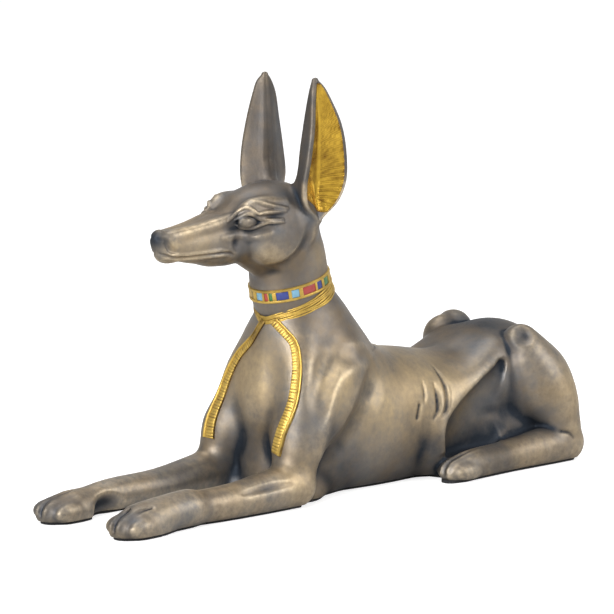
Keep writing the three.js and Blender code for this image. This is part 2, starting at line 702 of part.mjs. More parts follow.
// The points of a line that it needs to stay within a tolerance of its course.
function straightened(line, tolerance) {
  const [[ax, ay], [bx, by]] = [line[0], line.at(-1)];
  const long = Math.hypot(bx - ax, by - ay) || 1;
  const away = line.map(([x, y]) => Math.abs((bx - ax) * (ay - y) - (ax - x) * (by - ay)) / long);
  const worst = away.indexOf(Math.max(...away));
  if (line.length < 3 || away[worst] < tolerance) return [line[0], line.at(-1)];
  return [
    ...straightened(line.slice(0, worst + 1), tolerance).slice(0, -1),
    ...straightened(line.slice(worst), tolerance),
  ];
}

const rim = outline(GROUND, FELT_INSET / SHARE);
const half = Math.floor(rim.length / 2);
const feltRim = [
  ...straightened(rim.slice(0, half + 1), 0.2).slice(0, -1),
  ...straightened(rim.slice(half), 0.2),
].map(([x, y]) => new THREE.Vector2(x * SHARE, y * SHARE));
const felt = new THREE.ExtrudeGeometry(new THREE.Shape(feltRim), {
  depth: FELT_THICKNESS,
  bevelEnabled: false,
});

function named(name, geometry, look) {
  const mesh = new THREE.Mesh(geometry, new THREE.MeshStandardMaterial(look));
  mesh.name = name;
  return mesh;
}

const { vertProperties, triVerts, numProp } = figure.getMesh();
const castGeometry = new THREE.BufferGeometry();
castGeometry.setAttribute("position", new THREE.BufferAttribute(vertProperties, numProp));
castGeometry.setIndex(new THREE.BufferAttribute(triVerts, 1));
castGeometry.computeVertexNormals();

const group = new THREE.Group();
group.add(
  named("jackal", castGeometry, { color: 0x6b5a44, metalness: 0.6, roughness: 0.45 }),
  named("felt_pad", felt, { color: 0x17171a, metalness: 0, roughness: 0.95 }),
);
export default group;
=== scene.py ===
import math

import bpy
import numpy as np
import openvdb
from mathutils import Euler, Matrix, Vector


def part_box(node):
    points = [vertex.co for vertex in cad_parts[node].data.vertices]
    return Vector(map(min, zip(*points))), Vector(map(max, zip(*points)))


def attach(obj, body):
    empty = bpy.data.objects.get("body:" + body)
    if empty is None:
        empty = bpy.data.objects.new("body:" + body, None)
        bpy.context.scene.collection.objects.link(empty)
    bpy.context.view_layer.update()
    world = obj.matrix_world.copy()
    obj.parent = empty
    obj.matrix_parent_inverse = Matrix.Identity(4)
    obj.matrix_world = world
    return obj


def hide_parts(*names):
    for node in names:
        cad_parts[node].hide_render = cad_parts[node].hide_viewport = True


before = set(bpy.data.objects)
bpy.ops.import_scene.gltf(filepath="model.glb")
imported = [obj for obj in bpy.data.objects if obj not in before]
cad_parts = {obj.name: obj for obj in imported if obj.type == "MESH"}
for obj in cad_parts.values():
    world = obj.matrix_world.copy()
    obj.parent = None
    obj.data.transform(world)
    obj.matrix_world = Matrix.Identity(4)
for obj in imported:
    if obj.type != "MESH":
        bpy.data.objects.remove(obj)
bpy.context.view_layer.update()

# The sculpting below is in clay millimetres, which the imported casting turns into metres.
figure = {
    "length": 243.04,  # paw tips to rump, in clay millimetres
    "ground": 1.2,  # height at which the clay is cut flat
    "bodyStep": 0.7,  # spacing of the clay's samples
    "headStep": 0.4,
    "bodyTriangles": 112000,
    "headTriangles": 82000,
}
castLow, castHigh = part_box("jackal")
share = (castHigh.y - castLow.y) / figure["length"]


# Clay millimetres to metres in the frame
def placed(points):
    out = np.asarray(points, float) * share
    out[..., 2] += castLow.z - figure["ground"] * share
    return out


def deselectAll():
    if bpy.context.object and bpy.context.object.mode != "OBJECT":
        bpy.ops.object.mode_set(mode="OBJECT")
    bpy.ops.object.select_all(action="DESELECT")


def makeActive(obj):
    deselectAll()
    obj.select_set(True)
    bpy.context.view_layer.objects.active = obj


# Opens an object's mesh for editing, with all of it selected
def editAll(obj):
    makeActive(obj)
    bpy.ops.object.mode_set(mode="EDIT")
    bpy.ops.mesh.select_all(action="SELECT")


def smoothUpTo(obj, degrees):
    makeActive(obj)
    bpy.ops.object.shade_smooth_by_angle(angle=math.radians(degrees))


def joined(name, parts):
    makeActive(parts[0])
    for part in parts:
        part.select_set(True)
    bpy.ops.object.join()
    parts[0].name = parts[0].data.name = name
    return parts[0]


# Forms: each is a distance that is negative inside, with the box it fills


def ball(centre, sizes, turn=(0, 0, 0)):
    turned = np.array(Euler([math.radians(a) for a in turn]).to_matrix())
    sizes = np.array(sizes, float)

    def distance(x, y, z):
        away = [x - centre[0], y - centre[1], z - centre[2]]
        near, slope = 0, 0
        for d in range(3):
            part = sum(turned[k, d] * away[k] for k in range(3)) / sizes[d]
            near = near + part**2
            slope = slope + (part / sizes[d]) ** 2
        near = np.sqrt(near)
        return near * (near - 1) / np.maximum(np.sqrt(slope), 1e-6)

    reach = np.sqrt(((turned * sizes) ** 2).sum(1))
    return distance, np.array(centre) - reach, np.array(centre) + reach


def hermite(a, b, slopeA, slopeB, t):
    return (  # the usual cubic between two places with their slopes
        (2 * t**3 - 3 * t**2 + 1) * a
        + (t**3 - 2 * t**2 + t) * slopeA
        + (3 * t**2 - 2 * t**3) * b
        + (t**3 - t**2) * slopeB
    )


# A curve through points; where they have a fourth value it is a radius
def smoothLine(points, perSpan=4):
    s = np.array(points, float)
    if len(s) < 3:
        return s
    at = np.linspace(0, len(s) - 1, (len(s) - 1) * perSpan + 1)
    span = np.minimum(at.astype(int), len(s) - 2)
    t = (at - span)[:, None]
    p = np.vstack([2 * s[0] - s[1], s, 2 * s[-1] - s[-2]])[:, :3]
    p0, p1, p2, p3 = (p[span + k] for k in range(4))
    g0, g1, g2 = (
        np.sqrt(np.linalg.norm(b - a, axis=1))[:, None] for a, b in ((p0, p1), (p1, p2), (p2, p3))
    )
    out = ((p1 - p0) / g0 - (p2 - p0) / (g0 + g1) + (p2 - p1) / g1) * g1
    back = ((p2 - p1) / g1 - (p3 - p1) / (g1 + g2) + (p3 - p2) / g2) * g1
    line = hermite(p1, p2, out, back, t)
    if s.shape[1] == 3:
        return line
    r = np.concatenate([s[:1, 3:], s[:, 3:], s[-1:, 3:]])
    r0, r1, r2, r3 = (r[span + k] for k in range(4))
    return np.hstack([line, hermite(r1, r2, (r2 - r0) / 2, (r3 - r1) / 2, t)])


# A round bar through [x, y, z, radius] stations, stretched sideways by a factor
def limb(stations, wide=1):
    path = smoothLine(stations) / np.array([wide, 1, 1, 1])

    def distance(x, y, z):
        best = None
        for a, b in zip(path[:-1], path[1:]):
            d = b[:3] - a[:3]
            long = d @ d
            taper = a[3] - b[3]
            flank = long - taper**2
            px, py, pz = x / wide - a[0], y - a[1], z - a[2]
            along = px * d[0] + py * d[1] + pz * d[2]
            rest = along - long
            aside = (
                (px * long - d[0] * along) ** 2
                + (py * long - d[1] * along) ** 2
                + (pz * long - d[2] * along) ** 2
            )
            before, beyond = along**2 * long, rest**2 * long
            k = np.sign(taper) * taper**2 * aside
            here = np.where(
                np.sign(rest) * flank * beyond > k,
                np.sqrt(aside + beyond) / long - a[3] + taper,
                np.where(
                    np.sign(along) * flank * before < k,
                    np.sqrt(aside + before) / long - a[3],
                    (np.sqrt(aside * flank / long) + along * taper) / long - a[3],
                ),
            )
            best = here if best is None else np.minimum(best, here)
        return best * min(1, wide)

    scale = np.array([wide, 1, 1])
    low = scale * (path[:, :3] - path[:, 3:]).min(0)
    high = scale * (path[:, :3] + path[:, 3:]).max(0)
    return distance, low, high


# Each rail is a height with the [x, y] of three points, and the curves join them upwards
def railLines(rails):
    return [smoothLine([[*r[n], r[0]] for r in rails], 24) for n in (1, 2, 3)]


# The level section of a sheet: a bend through the three rails at a height
def levelLine(lines, z, count=10):
    three = [[np.interp(z, c[:, 2], c[:, 0]), np.interp(z, c[:, 2], c[:, 1]), 0] for c in lines]
    return smoothLine(three, count // 2)[:, :2]


def sheet(rails, half):
    lines = railLines(rails)
    bottom, top = rails[0][0], rails[-1][0]

    def distance(x, y, z):
        result = np.empty(np.broadcast_shapes(x.shape, y.shape, z.shape), np.float32)
        for k, height in enumerate(z.ravel()):
            level = min(max(height, bottom), top)
            line = levelLine(lines, level)
            best = None
            for a, b in zip(line[:-1], line[1:]):
                d = b - a
                px, py = x[:, :, 0] - a[0], y[:, :, 0] - a[1]
                t = np.clip((px * d[0] + py * d[1]) / max(d @ d, 1e-9), 0, 1)
                away = (px - t * d[0]) ** 2 + (py - t * d[1]) ** 2
                best = away if best is None else np.minimum(best, away)
            result[:, :, k] = np.sqrt(best + (height - level) ** 2) - half
        return result

    points = np.array([[*r[n], r[0]] for r in rails for n in (1, 2, 3)], float)
    return distance, points.min(0) - half, points.max(0) + half


def mirrored(form):
    distance, low, high = form
    flip = np.array([-1, 1, 1])
    return (
        lambda x, y, z: distance(-x, y, z),
        np.minimum(low * flip, high * flip),
        np.maximum(low * flip, high * flip),
    )


# The union of two distances with the seam rounded over a width
def blend(a, b, width):
    low = np.minimum(a, b)
    if width > 0:
        low -= np.maximum(width - np.abs(a - b), 0) ** 2 / (4 * width)
    return low


farOff = 20  # the distance held where no form is near


# A field of distances on a regular grid
class Clay:
    def __init__(self, low, high, step):
        self.low, self.step = np.array(low, float), step
        self.count = np.ceil((np.array(high) - low) / step).astype(int) + 1
        self.field = np.full(self.count, farOff, np.float32)

    def mix(self, form, width, sign):
        distance, low, high = form
        reach = width + 2
        first = np.floor((low - reach - self.low) / self.step).astype(int)
        last = np.ceil((high + reach - self.low) / self.step).astype(int) + 1
        first, last = np.maximum(first, 0), np.minimum(last, self.count)
        if (first >= last).any():
            return
        axes = [self.low[d] + self.step * np.arange(first[d], last[d]) for d in range(3)]
        grid = np.meshgrid(*[a.astype(np.float32) for a in axes], indexing="ij", sparse=True)
        part = tuple(slice(a, b) for a, b in zip(first, last))
        there = distance(*grid).astype(np.float32)
        self.field[part] = sign * blend(sign * self.field[part], there, width)

    def at(self, points):
        p = (np.asarray(points, float) - self.low) / self.step
        p = np.clip(p, 0, self.count - 1.001)
        i = p.astype(int)
        u = p - i
        total = 0
        for corner in range(8):
            bit = np.array([corner & 1, corner >> 1 & 1, corner >> 2])
            weight = np.prod(np.where(bit, u, 1 - u), axis=-1)
            j = i + bit
            total = total + weight * self.field[j[..., 0], j[..., 1], j[..., 2]]
        return total

    def outward(self, points, reach=0.8):
        points = np.asarray(points, float)
        n = np.stack(
            [self.at(points + reach * e) - self.at(points - reach * e) for e in np.eye(3)], axis=-1
        )
        return n / np.maximum(np.linalg.norm(n, axis=-1, keepdims=True), 1e-9)

    # The first point of the surface from a start along a direction
    def hit(self, start, direction, reach=90):
        steps = np.arange(0, reach, self.step / 5)[:, None]
        line = np.asarray(start, float) + steps * np.asarray(direction, float)
        inside = np.nonzero(self.at(line) < 0)[0]
        if len(inside) == 0:
            raise ValueError("no surface that way")
        return line[inside[0]]


# The jackal in clay: the whole figure, and the head again with finer samples
whole = Clay([-42, -130, -3], [42, 128, 166], figure["bodyStep"])
head = Clay([-24, -88, 72], [24, 12, 164], figure["headStep"])


def add(form, width=0):
    for clay in (whole, head):
        clay.mix(form, width, 1)


def cut(form, width=0):
    for clay in (whole, head):
        clay.mix(form, width, -1)


def addPair(form, width=0):
    add(form, width)
    add(mirrored(form), width)


def cutPair(form, width=0):
    cut(form, width)
    cut(mirrored(form), width)


# Trunk, belly and chest
add(ball([0, 24, 24.5], [24, 50, 25.5]))
spine = [
    [0, 14, 32, 18.4], [0, 40, 30.3, 18.2], [0, 62, 29.2, 17.2],
    [0, 76, 29, 17.6], [0, 90, 31.6, 18.8], [0, 102, 33, 19.5],
]
add(limb(spine, 1.12), 8)
add(limb([[0, 0, 13, 15], [0, 45, 11, 15], [0, 92, 12, 15]], 1.25), 8)
add(ball([0, -7, 36], [21, 24.5, 27]), 8)
add(ball([0, -11, 12], [18, 20, 20]), 6)

# Neck, skull, cheeks and muzzle
neck = [
    [0, 7.2, 39, 25.2], [0, -4, 58, 22], [0, -6.8, 70, 16.8],
    [0, -10.5, 80, 16.4], [0, -12.6, 92, 15.8], [0, -16.2, 103, 14.6],
]
add(limb(neck, 0.84), 8)
add(ball([0, -24, 106], [14.5, 22, 15]), 5)
addPair(ball([8.2, -37.2, 111.2], [5, 8.4, 5], [10, 0, 0]), 3.5)
addPair(ball([9, -26.4, 99.5], [6.8, 12.4, 9.4]), 4.5)
add(limb([[0, -75.5, 102.4, 5.2], [0, -62, 101.4, 7.4], [0, -46, 101.9, 9.8]], 0.88), 4)
add(limb([[0, -52, 100.8, 8.2], [0, -37, 99.4, 8], [0, -27.5, 95, 8.6]], 0.8), 3)
add(ball([0, -73.8, 98.5], [3.4, 5.4, 3.2]), 2)
add(ball([0, -78.2, 104.8], [3.3, 3.2, 3.6]), 1.5)
addPair(limb([[2.6, -74, 106, 1.2], [4.4, -60, 107.6, 1.5], [6, -48, 109.6, 1.8]]), 3)

# Ears: curved sheets, open outwards, on low roots
earRails = [
    [106.5, [14, -11], [13, -10], [14, -9]],
    [113, [15.6, -17.5], [9.4, -12.6], [15.5, -1.5]],
    [120, [16.6, -19.1], [9.2, -13.2], [16.4, 1.6]],
    [130, [17.6, -17.9], [9.6, -13.2], [17.2, 1.2]],
    [142, [17.2, -15.6], [10.8, -12.4], [17, -1.2]],
    [152, [15.7, -13.7], [12.2, -11.6], [15, -5]],
    [157, [14.7, -12.4], [13.1, -11.1], [14.2, -8]],
    [159.3, [13.6, -10.9], [13.6, -10.7], [13.6, -10.3]],
]
earHalf = 1.1  # half the ear's thickness
addPair(sheet(earRails, earHalf), 1.5)
addPair(limb([[7.5, -14, 104, 8], [8.6, -13.4, 115, 4.6], [9.6, -12.9, 125, 0.9]]), 3)
print("head and trunk formed")

# Shoulders and forelegs
upperArm = [[9.4, -15.2, 58, 7.4], [14.8, -19.4, 47, 7.6], [17, -23.4, 33, 7.6], [19.8, -27.4, 18, 7.9]]
addPair(limb(upperArm), 6)
addPair(limb([[14.6, 3, 50, 9], [17, -8, 38, 10.4], [19.4, -23.6, 25, 8.8]]), 8)
foreleg = [[21, -29.4, 8.3, 8.7], [20.3, -60, 6.2, 7], [20.1, -86, 6.4, 6.2], [20.1, -104, 4.2, 6]]
addPair(limb(foreleg), 5)
addPair(ball([20.1, -106.5, 3.4], [8.4, 13.8, 7]), 3)
add(limb([[20.3, -108, 5.4, 6], [20.3, -98, 6.6, 6.2], [20.3, -84, 7.2, 6.2]]), 4)

# Haunches: a hollow under the flank fold, then thigh, knee, hock and foot
add(ball([0, 96, 32], [22, 23, 20.5]), 8)
addPair(limb([[13, 98, 11, 12], [16, 72, 10, 9.6], [17, 50, 10, 9]]), 5)
flankFold = [[13.6, 87, 43.4, 5.5], [15.8, 73, 35.6, 7.2], [15.8, 58, 28, 8], [16, 50, 18, 8.4]]
addPair(limb(flankFold), 8)
foldHollow = [[21, 84, 40.5, 2.2], [23.5, 75, 29, 8.5], [26, 64, 14, 16]]
cutPair(limb(foldHollow, 0.5), 1)
thigh = [[21.5, 100.9, 38, 10.8], [25.2, 107.3, 26, 10.8], [27.4, 110, 14, 9]]
add(limb([[19.6, 96.2, 47.4, 7.4], *thigh]), 1.5)  # the near side
add(mirrored(ball([19, 92.4, 45.6], [6.6, 9, 9])), 2.5)  # the far side, whose knee is fuller
add(mirrored(limb([[19.5, 99, 48, 7.6], *thigh])), 1.5)
addPair(ball([21, 98, 39.5], [8.4, 9.8, 12]), 3)
addPair(ball([21.5, 104, 30.5], [11.5, 14, 15.5]), 4)
hindFoot = [[28, 112.2, 7, 8.4], [29, 80, 5.6, 6.4], [29.5, 57, 4.8, 6.2], [29.4, 48.8, 4, 5.2]]
addPair(limb(hindFoot), 2)

# Tail: down the rump and round the right haunch on the ground
tail = [
    [0, 105, 32, 6], [-2, 113.5, 17, 5], [-12, 115, 6, 4.6],
    [-26, 115, 4.8, 4.2], [-34.5, 107, 4.4, 3.8], [-35.5, 90, 3.8, 2.8],
]
add(limb(tail), 3)

# Low fillings that join the belly to the feet and elbows on the ground
add(ball([0, 103, 8], [24, 14, 13]), 4)
addPair(limb([[20, 106, 2, 8.5], [20, 80, 2, 7], [20, 56, 1, 6.5]]), 3)
addPair(ball([12, -19, 3], [9, 12, 7.5]), 4)

# Toes: four on each paw, with grooves that run up between them
forePaw = {
    "middle": [20.1, -114],
    "spread": 4.2,  # from toe to toe
    "radius": 4.2,  # half a toe's height
    "slant": 0,  # how much further back each toe lies than the one inside it
    "grooves": [[-6.7, 2.5, 1], [-3.7, 8.5, 0.9], [9.3, 10.6, 0.4]],  # way back, height, radius
}
hindPaw = {
    "middle": [29.6, 48.6],
    "spread": 3,
    "radius": 3.9,
    "slant": 0.4,
    "grooves": [[-7.5, 2.5, 1.2], [-4.6, 7.8, 1.2], [6, 10.8, 1], [14, 11.8, 0.6]],
}


def toes(paw):
    x, y = paw["middle"]
    for place in (-1.5, -0.5, 0.5, 1.5):
        outer = abs(place) > 1  # the two outer toes lie further back and are lower
        back = 2.8 * outer + paw["slant"] * (place + 1.5)
        high = paw["radius"] - 0.56 * outer
        addPair(ball([x + place * paw["spread"], y + back, high + 0.4], [2.7, 6.5, high]), 1.2)
    for place in (-1, 0, 1):
        back = paw["slant"] * (place + 1.5)
        groove = [[x + place * paw["spread"], y + back + b, z, r] for b, z, r in paw["grooves"]]
        cutPair(limb(groove), 0.8)


toes(forePaw)
toes(hindPaw)
print("legs and feet formed")


# Carved lines are drawn in the side view, as [y, z], and laid on the surface, lifted by out
def drawn(points, out, radius, thinEnds=True):
    stations = []
    for i, (y, z) in enumerate(points):
        clay = head if z > 85 else whole
        x = clay.hit([clay.low[0] + clay.step * (clay.count[0] - 1), y, z], [-1, 0, 0])[0]
        end = thinEnds and i in (0, len(points) - 1)
        stations.append([x + out, y, z, radius / 2 if end else radius])
    return limb(stations)


# A hollow over each knee, rib furrows, and the arm's ridge with grooves round it
cut(ball([25.2, 91.5, 52], [4.9, 5.1, 3], [0, 48, 0]), 1.8)
cut(ball([-25, 90.8, 54.6], [4.6, 5, 3.2], [0, -40, 0]), 2)
ribFurrows = [  # line, lift and radius
    [[[52, 42.9], [52.7, 37.2], [51.6, 31.5], [50, 27.4], [47.4, 24.8]], 0.4, 1.25],
    [[[47.2, 37.3], [46.8, 32.8], [46.1, 27.9], [43.6, 24.8]], 0.35, 1.1],
    [[[40.6, 39], [40, 35], [39, 31.6]], 0.4, 0.9],
]
for line, out, radius in ribFurrows:
    cutPair(drawn(line, out, radius), 0.7)
cutPair(drawn([[36, 31], [34.4, 26]], 0.4, 1, False), 0.7)
armRidge = [[-1, 52], [-4.3, 49.4], [-9.8, 45.2], [-14.6, 40.4], [-18.2, 35], [-21, 29], [-23.5, 22]]
addPair(drawn(armRidge, -3.2, 4), 4)
behindArm = [[12, 49], [10, 41.7], [6.6, 36.6], [2, 29.4], [-5, 21]]
cutPair(drawn(behindArm, 5.2, 5), 5)
beforeArm = [[-6, 58], [-13.6, 53.3], [-18.9, 47.3], [-22.4, 40.3], [-25, 33]]
cutPair(drawn(beforeArm, 4.9, 4.5), 3)
overArm = [[-8, 51], [-3, 55.4], [3, 56.2], [10, 54.4], [15, 50]]
cutPair(drawn(overArm, 4.5, 4), 3)


# A bar through points near the head's surface, drawn onto it and lifted by out
def traced(points, out, radius, thinEnds=True):
    p = np.array(points, float)
    for _ in range(3):
        p -= head.outward(p, 0.5) * (head.at(p) - out)[:, None]
    r = np.full(len(p), radius, float)
    if thinEnds:
        r[[0, -1]] /= 2
    return limb(np.column_stack([p, r]))


# Eyes: a socket, the ball, and raised lids that run out behind in a long bar
browRidge = [
    [8.5, -46, 116], [10, -41.4, 117.8], [12, -35, 118.2], [13, -29.3, 117.2], [12.5, -24, 116],
]
addPair(traced(browRidge, -1, 1.9), 2)
cutPair(ball([12.8, -43.4, 108.6], [2.2, 5.6, 3.1]), 1.2)
addPair(ball([10.2, -42.4, 108.6], [2, 4.8, 2.3]), 0.2)
upperLid = [
    [8, -50.4, 109.3], [7.7, -48.2, 110.6], [7.6, -45.6, 112.2], [8.8, -44.6, 113.5],
    [10, -43.4, 114.1], [11.3, -42.2, 113.9], [12.8, -40.8, 112.4], [13.4, -39, 111.3],
]
innerLid = [
    [8.2, -47.6, 109.5], [9.4, -45.7, 110.7], [10.8, -43.9, 111.6], [11.6, -42.2, 111.7],
    [11.8, -39.8, 110.6], [12.2, -37.8, 109.6], [13.6, -35.4, 109], [14.9, -32.3, 108.9], [15.1, -28, 108.8],
]
lowerLid = [
    [9, -47.2, 107.4], [9.8, -45.8, 106.4], [10.4, -43.6, 105.6], [10.8, -41.4, 105.6],
    [11.5, -38.9, 106.6], [12.1, -36.9, 107.6], [13.7, -35.3, 108], [14.6, -32, 107.8], [15, -28, 107.6],
]
for line in (upperLid, innerLid, lowerLid):
    addPair(traced(line, 0.1, 0.75), 0.3)
foldBar = [[13.7, -39.6, 111.7], [13.3, -36, 111.8], [13.2, -31.2, 111.6], [13.5, -25.8, 111.3]]
addPair(traced(foldBar, 0.05, 0.85), 0.4)
brow = [
    [10.3, -39.3, 115.6], [11.9, -36.6, 115.3], [13.6, -33.1, 114.4],
    [13.5, -27.3, 113], [13.4, -24.6, 112.3],
]
addPair(traced(brow, -0.1, 0.85), 0.8)
underBar = [[13.2, -37.6, 110.5], [14, -33, 110.2], [14.6, -26.5, 110.1]]
cutPair(traced(underBar, 0.3, 0.55), 0.4)

# Cheekbone, mouth with its lips, nose and nostrils
cheekbone = [
    [7.9, -53, 103.4], [8.4, -49.9, 103.6], [8.8, -46.6, 103.7],
    [9.4, -41.6, 103], [11.8, -37.6, 103], [13.5, -34, 104],
]
addPair(traced(cheekbone, -0.7, 1.4), 1.4)
cheekGroove = [[9.6, -47, 105.2], [10.6, -42, 104.4], [12.6, -37.4, 104.6], [14, -33, 105.8]]
cutPair(traced(cheekGroove, 0.7, 1.2), 0.8)
lipCrease = [[8.8, -47.6, 102.8], [8.9, -46.8, 100.8], [8.7, -45.8, 98.2]]
cutPair(traced(lipCrease, 0.6, 1.5), 1.6)
jawEdge = [
    [10.5, -30.5, 89.6], [12, -25.5, 91], [13.2, -21.6, 93.6],
    [14, -18, 97], [14.2, -15.8, 100.6], [13.6, -15.2, 104],
]
cutPair(traced(jawEdge, 1.1, 2.2), 2.4)
upperLip = [
    [3, -77.8, 100.1], [3.6, -75.2, 99.2], [3.9, -71.3, 98.6], [4.6, -66.6, 98.6],
    [5.6, -59.9, 98.7], [6.6, -54.4, 98.9], [7.2, -50.8, 98.6],
]
lowerLip = [
    [3, -77, 97.9], [3.2, -71.5, 96.8], [4.4, -65.4, 96.8],
    [5.4, -60, 96.9], [6.9, -54.6, 96.9], [7.3, -50, 96.4],
]
mouth = [
    [1.4, -79.6, 99.9], [2.9, -77.6, 99.1], [3.5, -75, 98.2], [3.8, -70, 97.7], [4.9, -64, 97.7],
    [5.9, -57, 97.8], [6.9, -52, 97.8], [7.4, -48.8, 97.1], [7.5, -47, 96],
]
addPair(traced(upperLip, -0.3, 0.9), 0.8)
addPair(traced(lowerLip, -0.3, 0.9), 0.8)
cutPair(traced(mouth, 0.15, 0.65), 0.4)
nostril = [[1.3, -82, 106.2, 0.7], [2.6, -81, 105.7, 0.9], [3.5, -79.4, 104.9, 0.5]]
cutPair(limb(nostril), 0.4)
noseSplit = [[0, -82.2, 105, 0.35], [0, -81.8, 102.4, 0.45], [0, -80.6, 100, 0.3]]
cut(limb(noseSplit), 0.6)
noseStep = [[3.6, -78.6, 105.4], [4, -77.5, 103.2], [4.2, -76, 101.2], [4.3, -73.4, 99.9]]
cutPair(traced(noseStep, 0.6, 1.7), 0.5)

# Wrists lifted off the ground inside, grooves on forearm and heel, and tendons on the hind foot
cutPair(ball([12.2, -91.6, 2], [6.5, 7, 6.6]), 3)
cutPair(drawn([[-60, 10.2], [-52, 10.8], [-45, 11.1], [-38, 11]], 0.6, 1.2), 1.5)
cutPair(drawn([[104, 13], [107.5, 12], [110, 9.6]], 0.3, 0.8), 1)
tendon = [[29.6, 47, 9.4, 0.5], [28.6, 56, 12.2, 0.7], [27.6, 66, 13.4, 0.4]]
for aside in (-2.4, 0, 2.4):
    cutPair(limb([[x + aside, y, z, r] for x, y, z, r in tendon]), 0.7)
print("carving done")

# From clay to a mesh
collar = {
    "front": 77.8,  # height of the band's middle in front
    "slope": 0.22,  # rise towards the nape
    "height": 5.2,
    "relief": 0.8,
}
neckAxis = -11  # where the neck's middle lies at the collar
neckRadius = 14  # from there to the throat


# The middle of a tilted ring round the neck, from its height in front
def ringMiddle(ring):
    return np.array([0, neckAxis, ring["front"] + ring["slope"] * neckRadius])


# The body and the finer head meet along a cut that the collar covers.
seamPoint = ringMiddle(collar)
seamNormal = np.array([0, -collar["slope"], 1])


# The clay's surface as a new object, in clay millimetres
def meshOf(clay, name):
    grid = openvdb.FloatGrid(3)
    grid.copyFromArray(np.clip(clay.field / clay.step, -3, 3))
    points, triangles, quads = grid.convertToPolygons(isovalue=0, adaptivity=0)
    points = points * clay.step + clay.low
    faces = [list(map(int, f)) for f in triangles] + [list(map(int, f)) for f in quads]
    mesh = bpy.data.meshes.new(name)
    mesh.from_pydata(points.tolist(), [], faces)
    first = mesh.polygons[0]
    if Vector(clay.outward([first.center])[0]).dot(first.normal) < 0:
        mesh.flip_normals()
    obj = bpy.data.objects.new(name, mesh)
    bpy.context.scene.collection.objects.link(obj)
    return obj


def thin(obj, triangles):
    makeActive(obj)
    faces = sum(len(p.vertices) - 2 for p in obj.data.polygons)
    if faces > triangles:
        step = obj.modifiers.new("thin", "DECIMATE")
        step.ratio = triangles / faces
        bpy.ops.object.modifier_apply(modifier=step.name)


# Keeps what is above a plane, and closes the cut
def cutOff(obj, point, normal):
    editAll(obj)
    bpy.ops.mesh.bisect(plane_co=point, plane_no=normal, use_fill=True, clear_inner=True)
    bpy.ops.object.mode_set(mode="OBJECT")


bodyMesh = meshOf(whole, "jackal_cast")
headMesh = meshOf(head, "head")
print("meshed", len(bodyMesh.data.polygons), len(headMesh.data.polygons))
cutOff(bodyMesh, (0, 0, figure["ground"]), (0, 0, 1))
cutOff(bodyMesh, seamPoint, -seamNormal)
cutOff(headMesh, seamPoint, seamNormal)
thin(bodyMesh, figure["bodyTriangles"])
thin(headMesh, figure["headTriangles"])
cast = joined("jackal_cast", [bodyMesh, headMesh])
print("thinned to", len(cast.data.polygons))


# Where the patina, the wear, painted shade and painted highlight lie: masks from how the clay bends and how
# much stands round a place


# A box blur, run twice
def blurred(values, radius):
    for axis in (0, 1, 2) * 2:
        n = values.shape[axis]
        pad = [(0, 0)] * 3
        pad[axis] = (radius + 1, radius)
        total = np.cumsum(np.pad(values, pad, mode="edge"), axis=axis, dtype=np.float32)
        high = np.take(total, np.arange(2 * radius + 1, 2 * radius + 1 + n), axis=axis)
        low = np.take(total, np.arange(0, n), axis=axis)
        values = (high - low) / (2 * radius + 1)
    return values


# The share of solid around each point, about a half on flat ground
def fullness(clay, points, reach):
    every = max(1, round(reach / clay.step / 4))  # wide blurs need fewer samples
    solid = np.clip(0.5 - clay.field[::every, ::every, ::every] / (clay.step * every), 0, 1)
    level = int((figure["ground"] - clay.low[2]) / (clay.step * every))
    solid[:, :, : level + 1] = 1  # the ground counts as solid
    soft = Clay(clay.low, clay.low, clay.step * every)
    soft.field = blurred(solid, max(1, round(reach / (clay.step * every) / 2)))
    soft.count = np.array(soft.field.shape)
    return soft.at(points)


def setMask(obj, name, values):
    attribute = obj.data.attributes.new(name, "FLOAT", "POINT")
    attribute.data.foreach_set("value", np.clip(values, 0, 1).astype(np.float32))


def coordinates(obj):
    co = np.empty(len(obj.data.vertices) * 3, np.float32)
    obj.data.vertices.foreach_get("co", co)
    return co.reshape(-1, 3).astype(float)


def setCoordinates(obj, points):
    obj.data.vertices.foreach_set("co", np.asarray(points, np.float32).ravel())
    obj.data.update()


# How the surface bends within a reach of each point: positive on edges, negative in grooves
def bend(clay, points, reach):
    out = clay.outward(points, reach / 2)
    anyWay = [0.37, 0.83, 0.42]
    first = np.cross(out, anyWay)
    first /= np.linalg.norm(first, axis=1, keepdims=True)
    second = np.cross(out, first)
    ring = 0
    for angle in np.arange(8) * math.pi / 4:
        ring = ring + clay.at(points + reach * (math.cos(angle) * first + math.sin(angle) * second))
    return ring / 8 / reach - clay.at(points) / reach


patina = {  # reaches are in clay millimetres
    "fine": {"reach": 1.4, "headReach": 1, "edges": 1.3, "headEdges": 1.05, "grooves": 3.4},
    "middle": {"reach": 3, "edges": 1.2, "grooves": 2.6},
    "wide": {"reach": 7, "edges": 0.9, "grooves": 1.2},
    "deep": {"reach": 26, "shade": 1.2},  # painted shade where much clay stands round a place
    "edges": 0.85,  # strength of the bright edges, worn and painted as highlight, and what is taken off them
    "edgesOff": 0.1,
    "earStart": 117,  # height where the ears begin to be dark, and over how much they become it
    "earRise": 6,
    "earShade": 0.42,
    "earEdges": 0.8,  # how far their edges are dulled
}
points = coordinates(cast)
inHead = (points - seamPoint) @ seamNormal > 0
bends = {name: bend(whole, points, patina[name]["reach"]) for name in ("fine", "middle", "wide")}
bends["fine"][inHead] = bend(head, points[inHead], patina["fine"]["headReach"])
deep = fullness(whole, points, patina["deep"]["reach"])


# How near each point is to a list of places, each with its reach and strength, on both sides
def spots(places):
    near = np.zeros(len(points))
    for place, reach, strength in places:
        for sideX in (1, -1):
            away = np.linalg.norm(points - np.array(place) * [sideX, 1, 1], axis=1)
            near = np.maximum(near, strength * np.exp(-((away / reach) ** 2)))
    return near
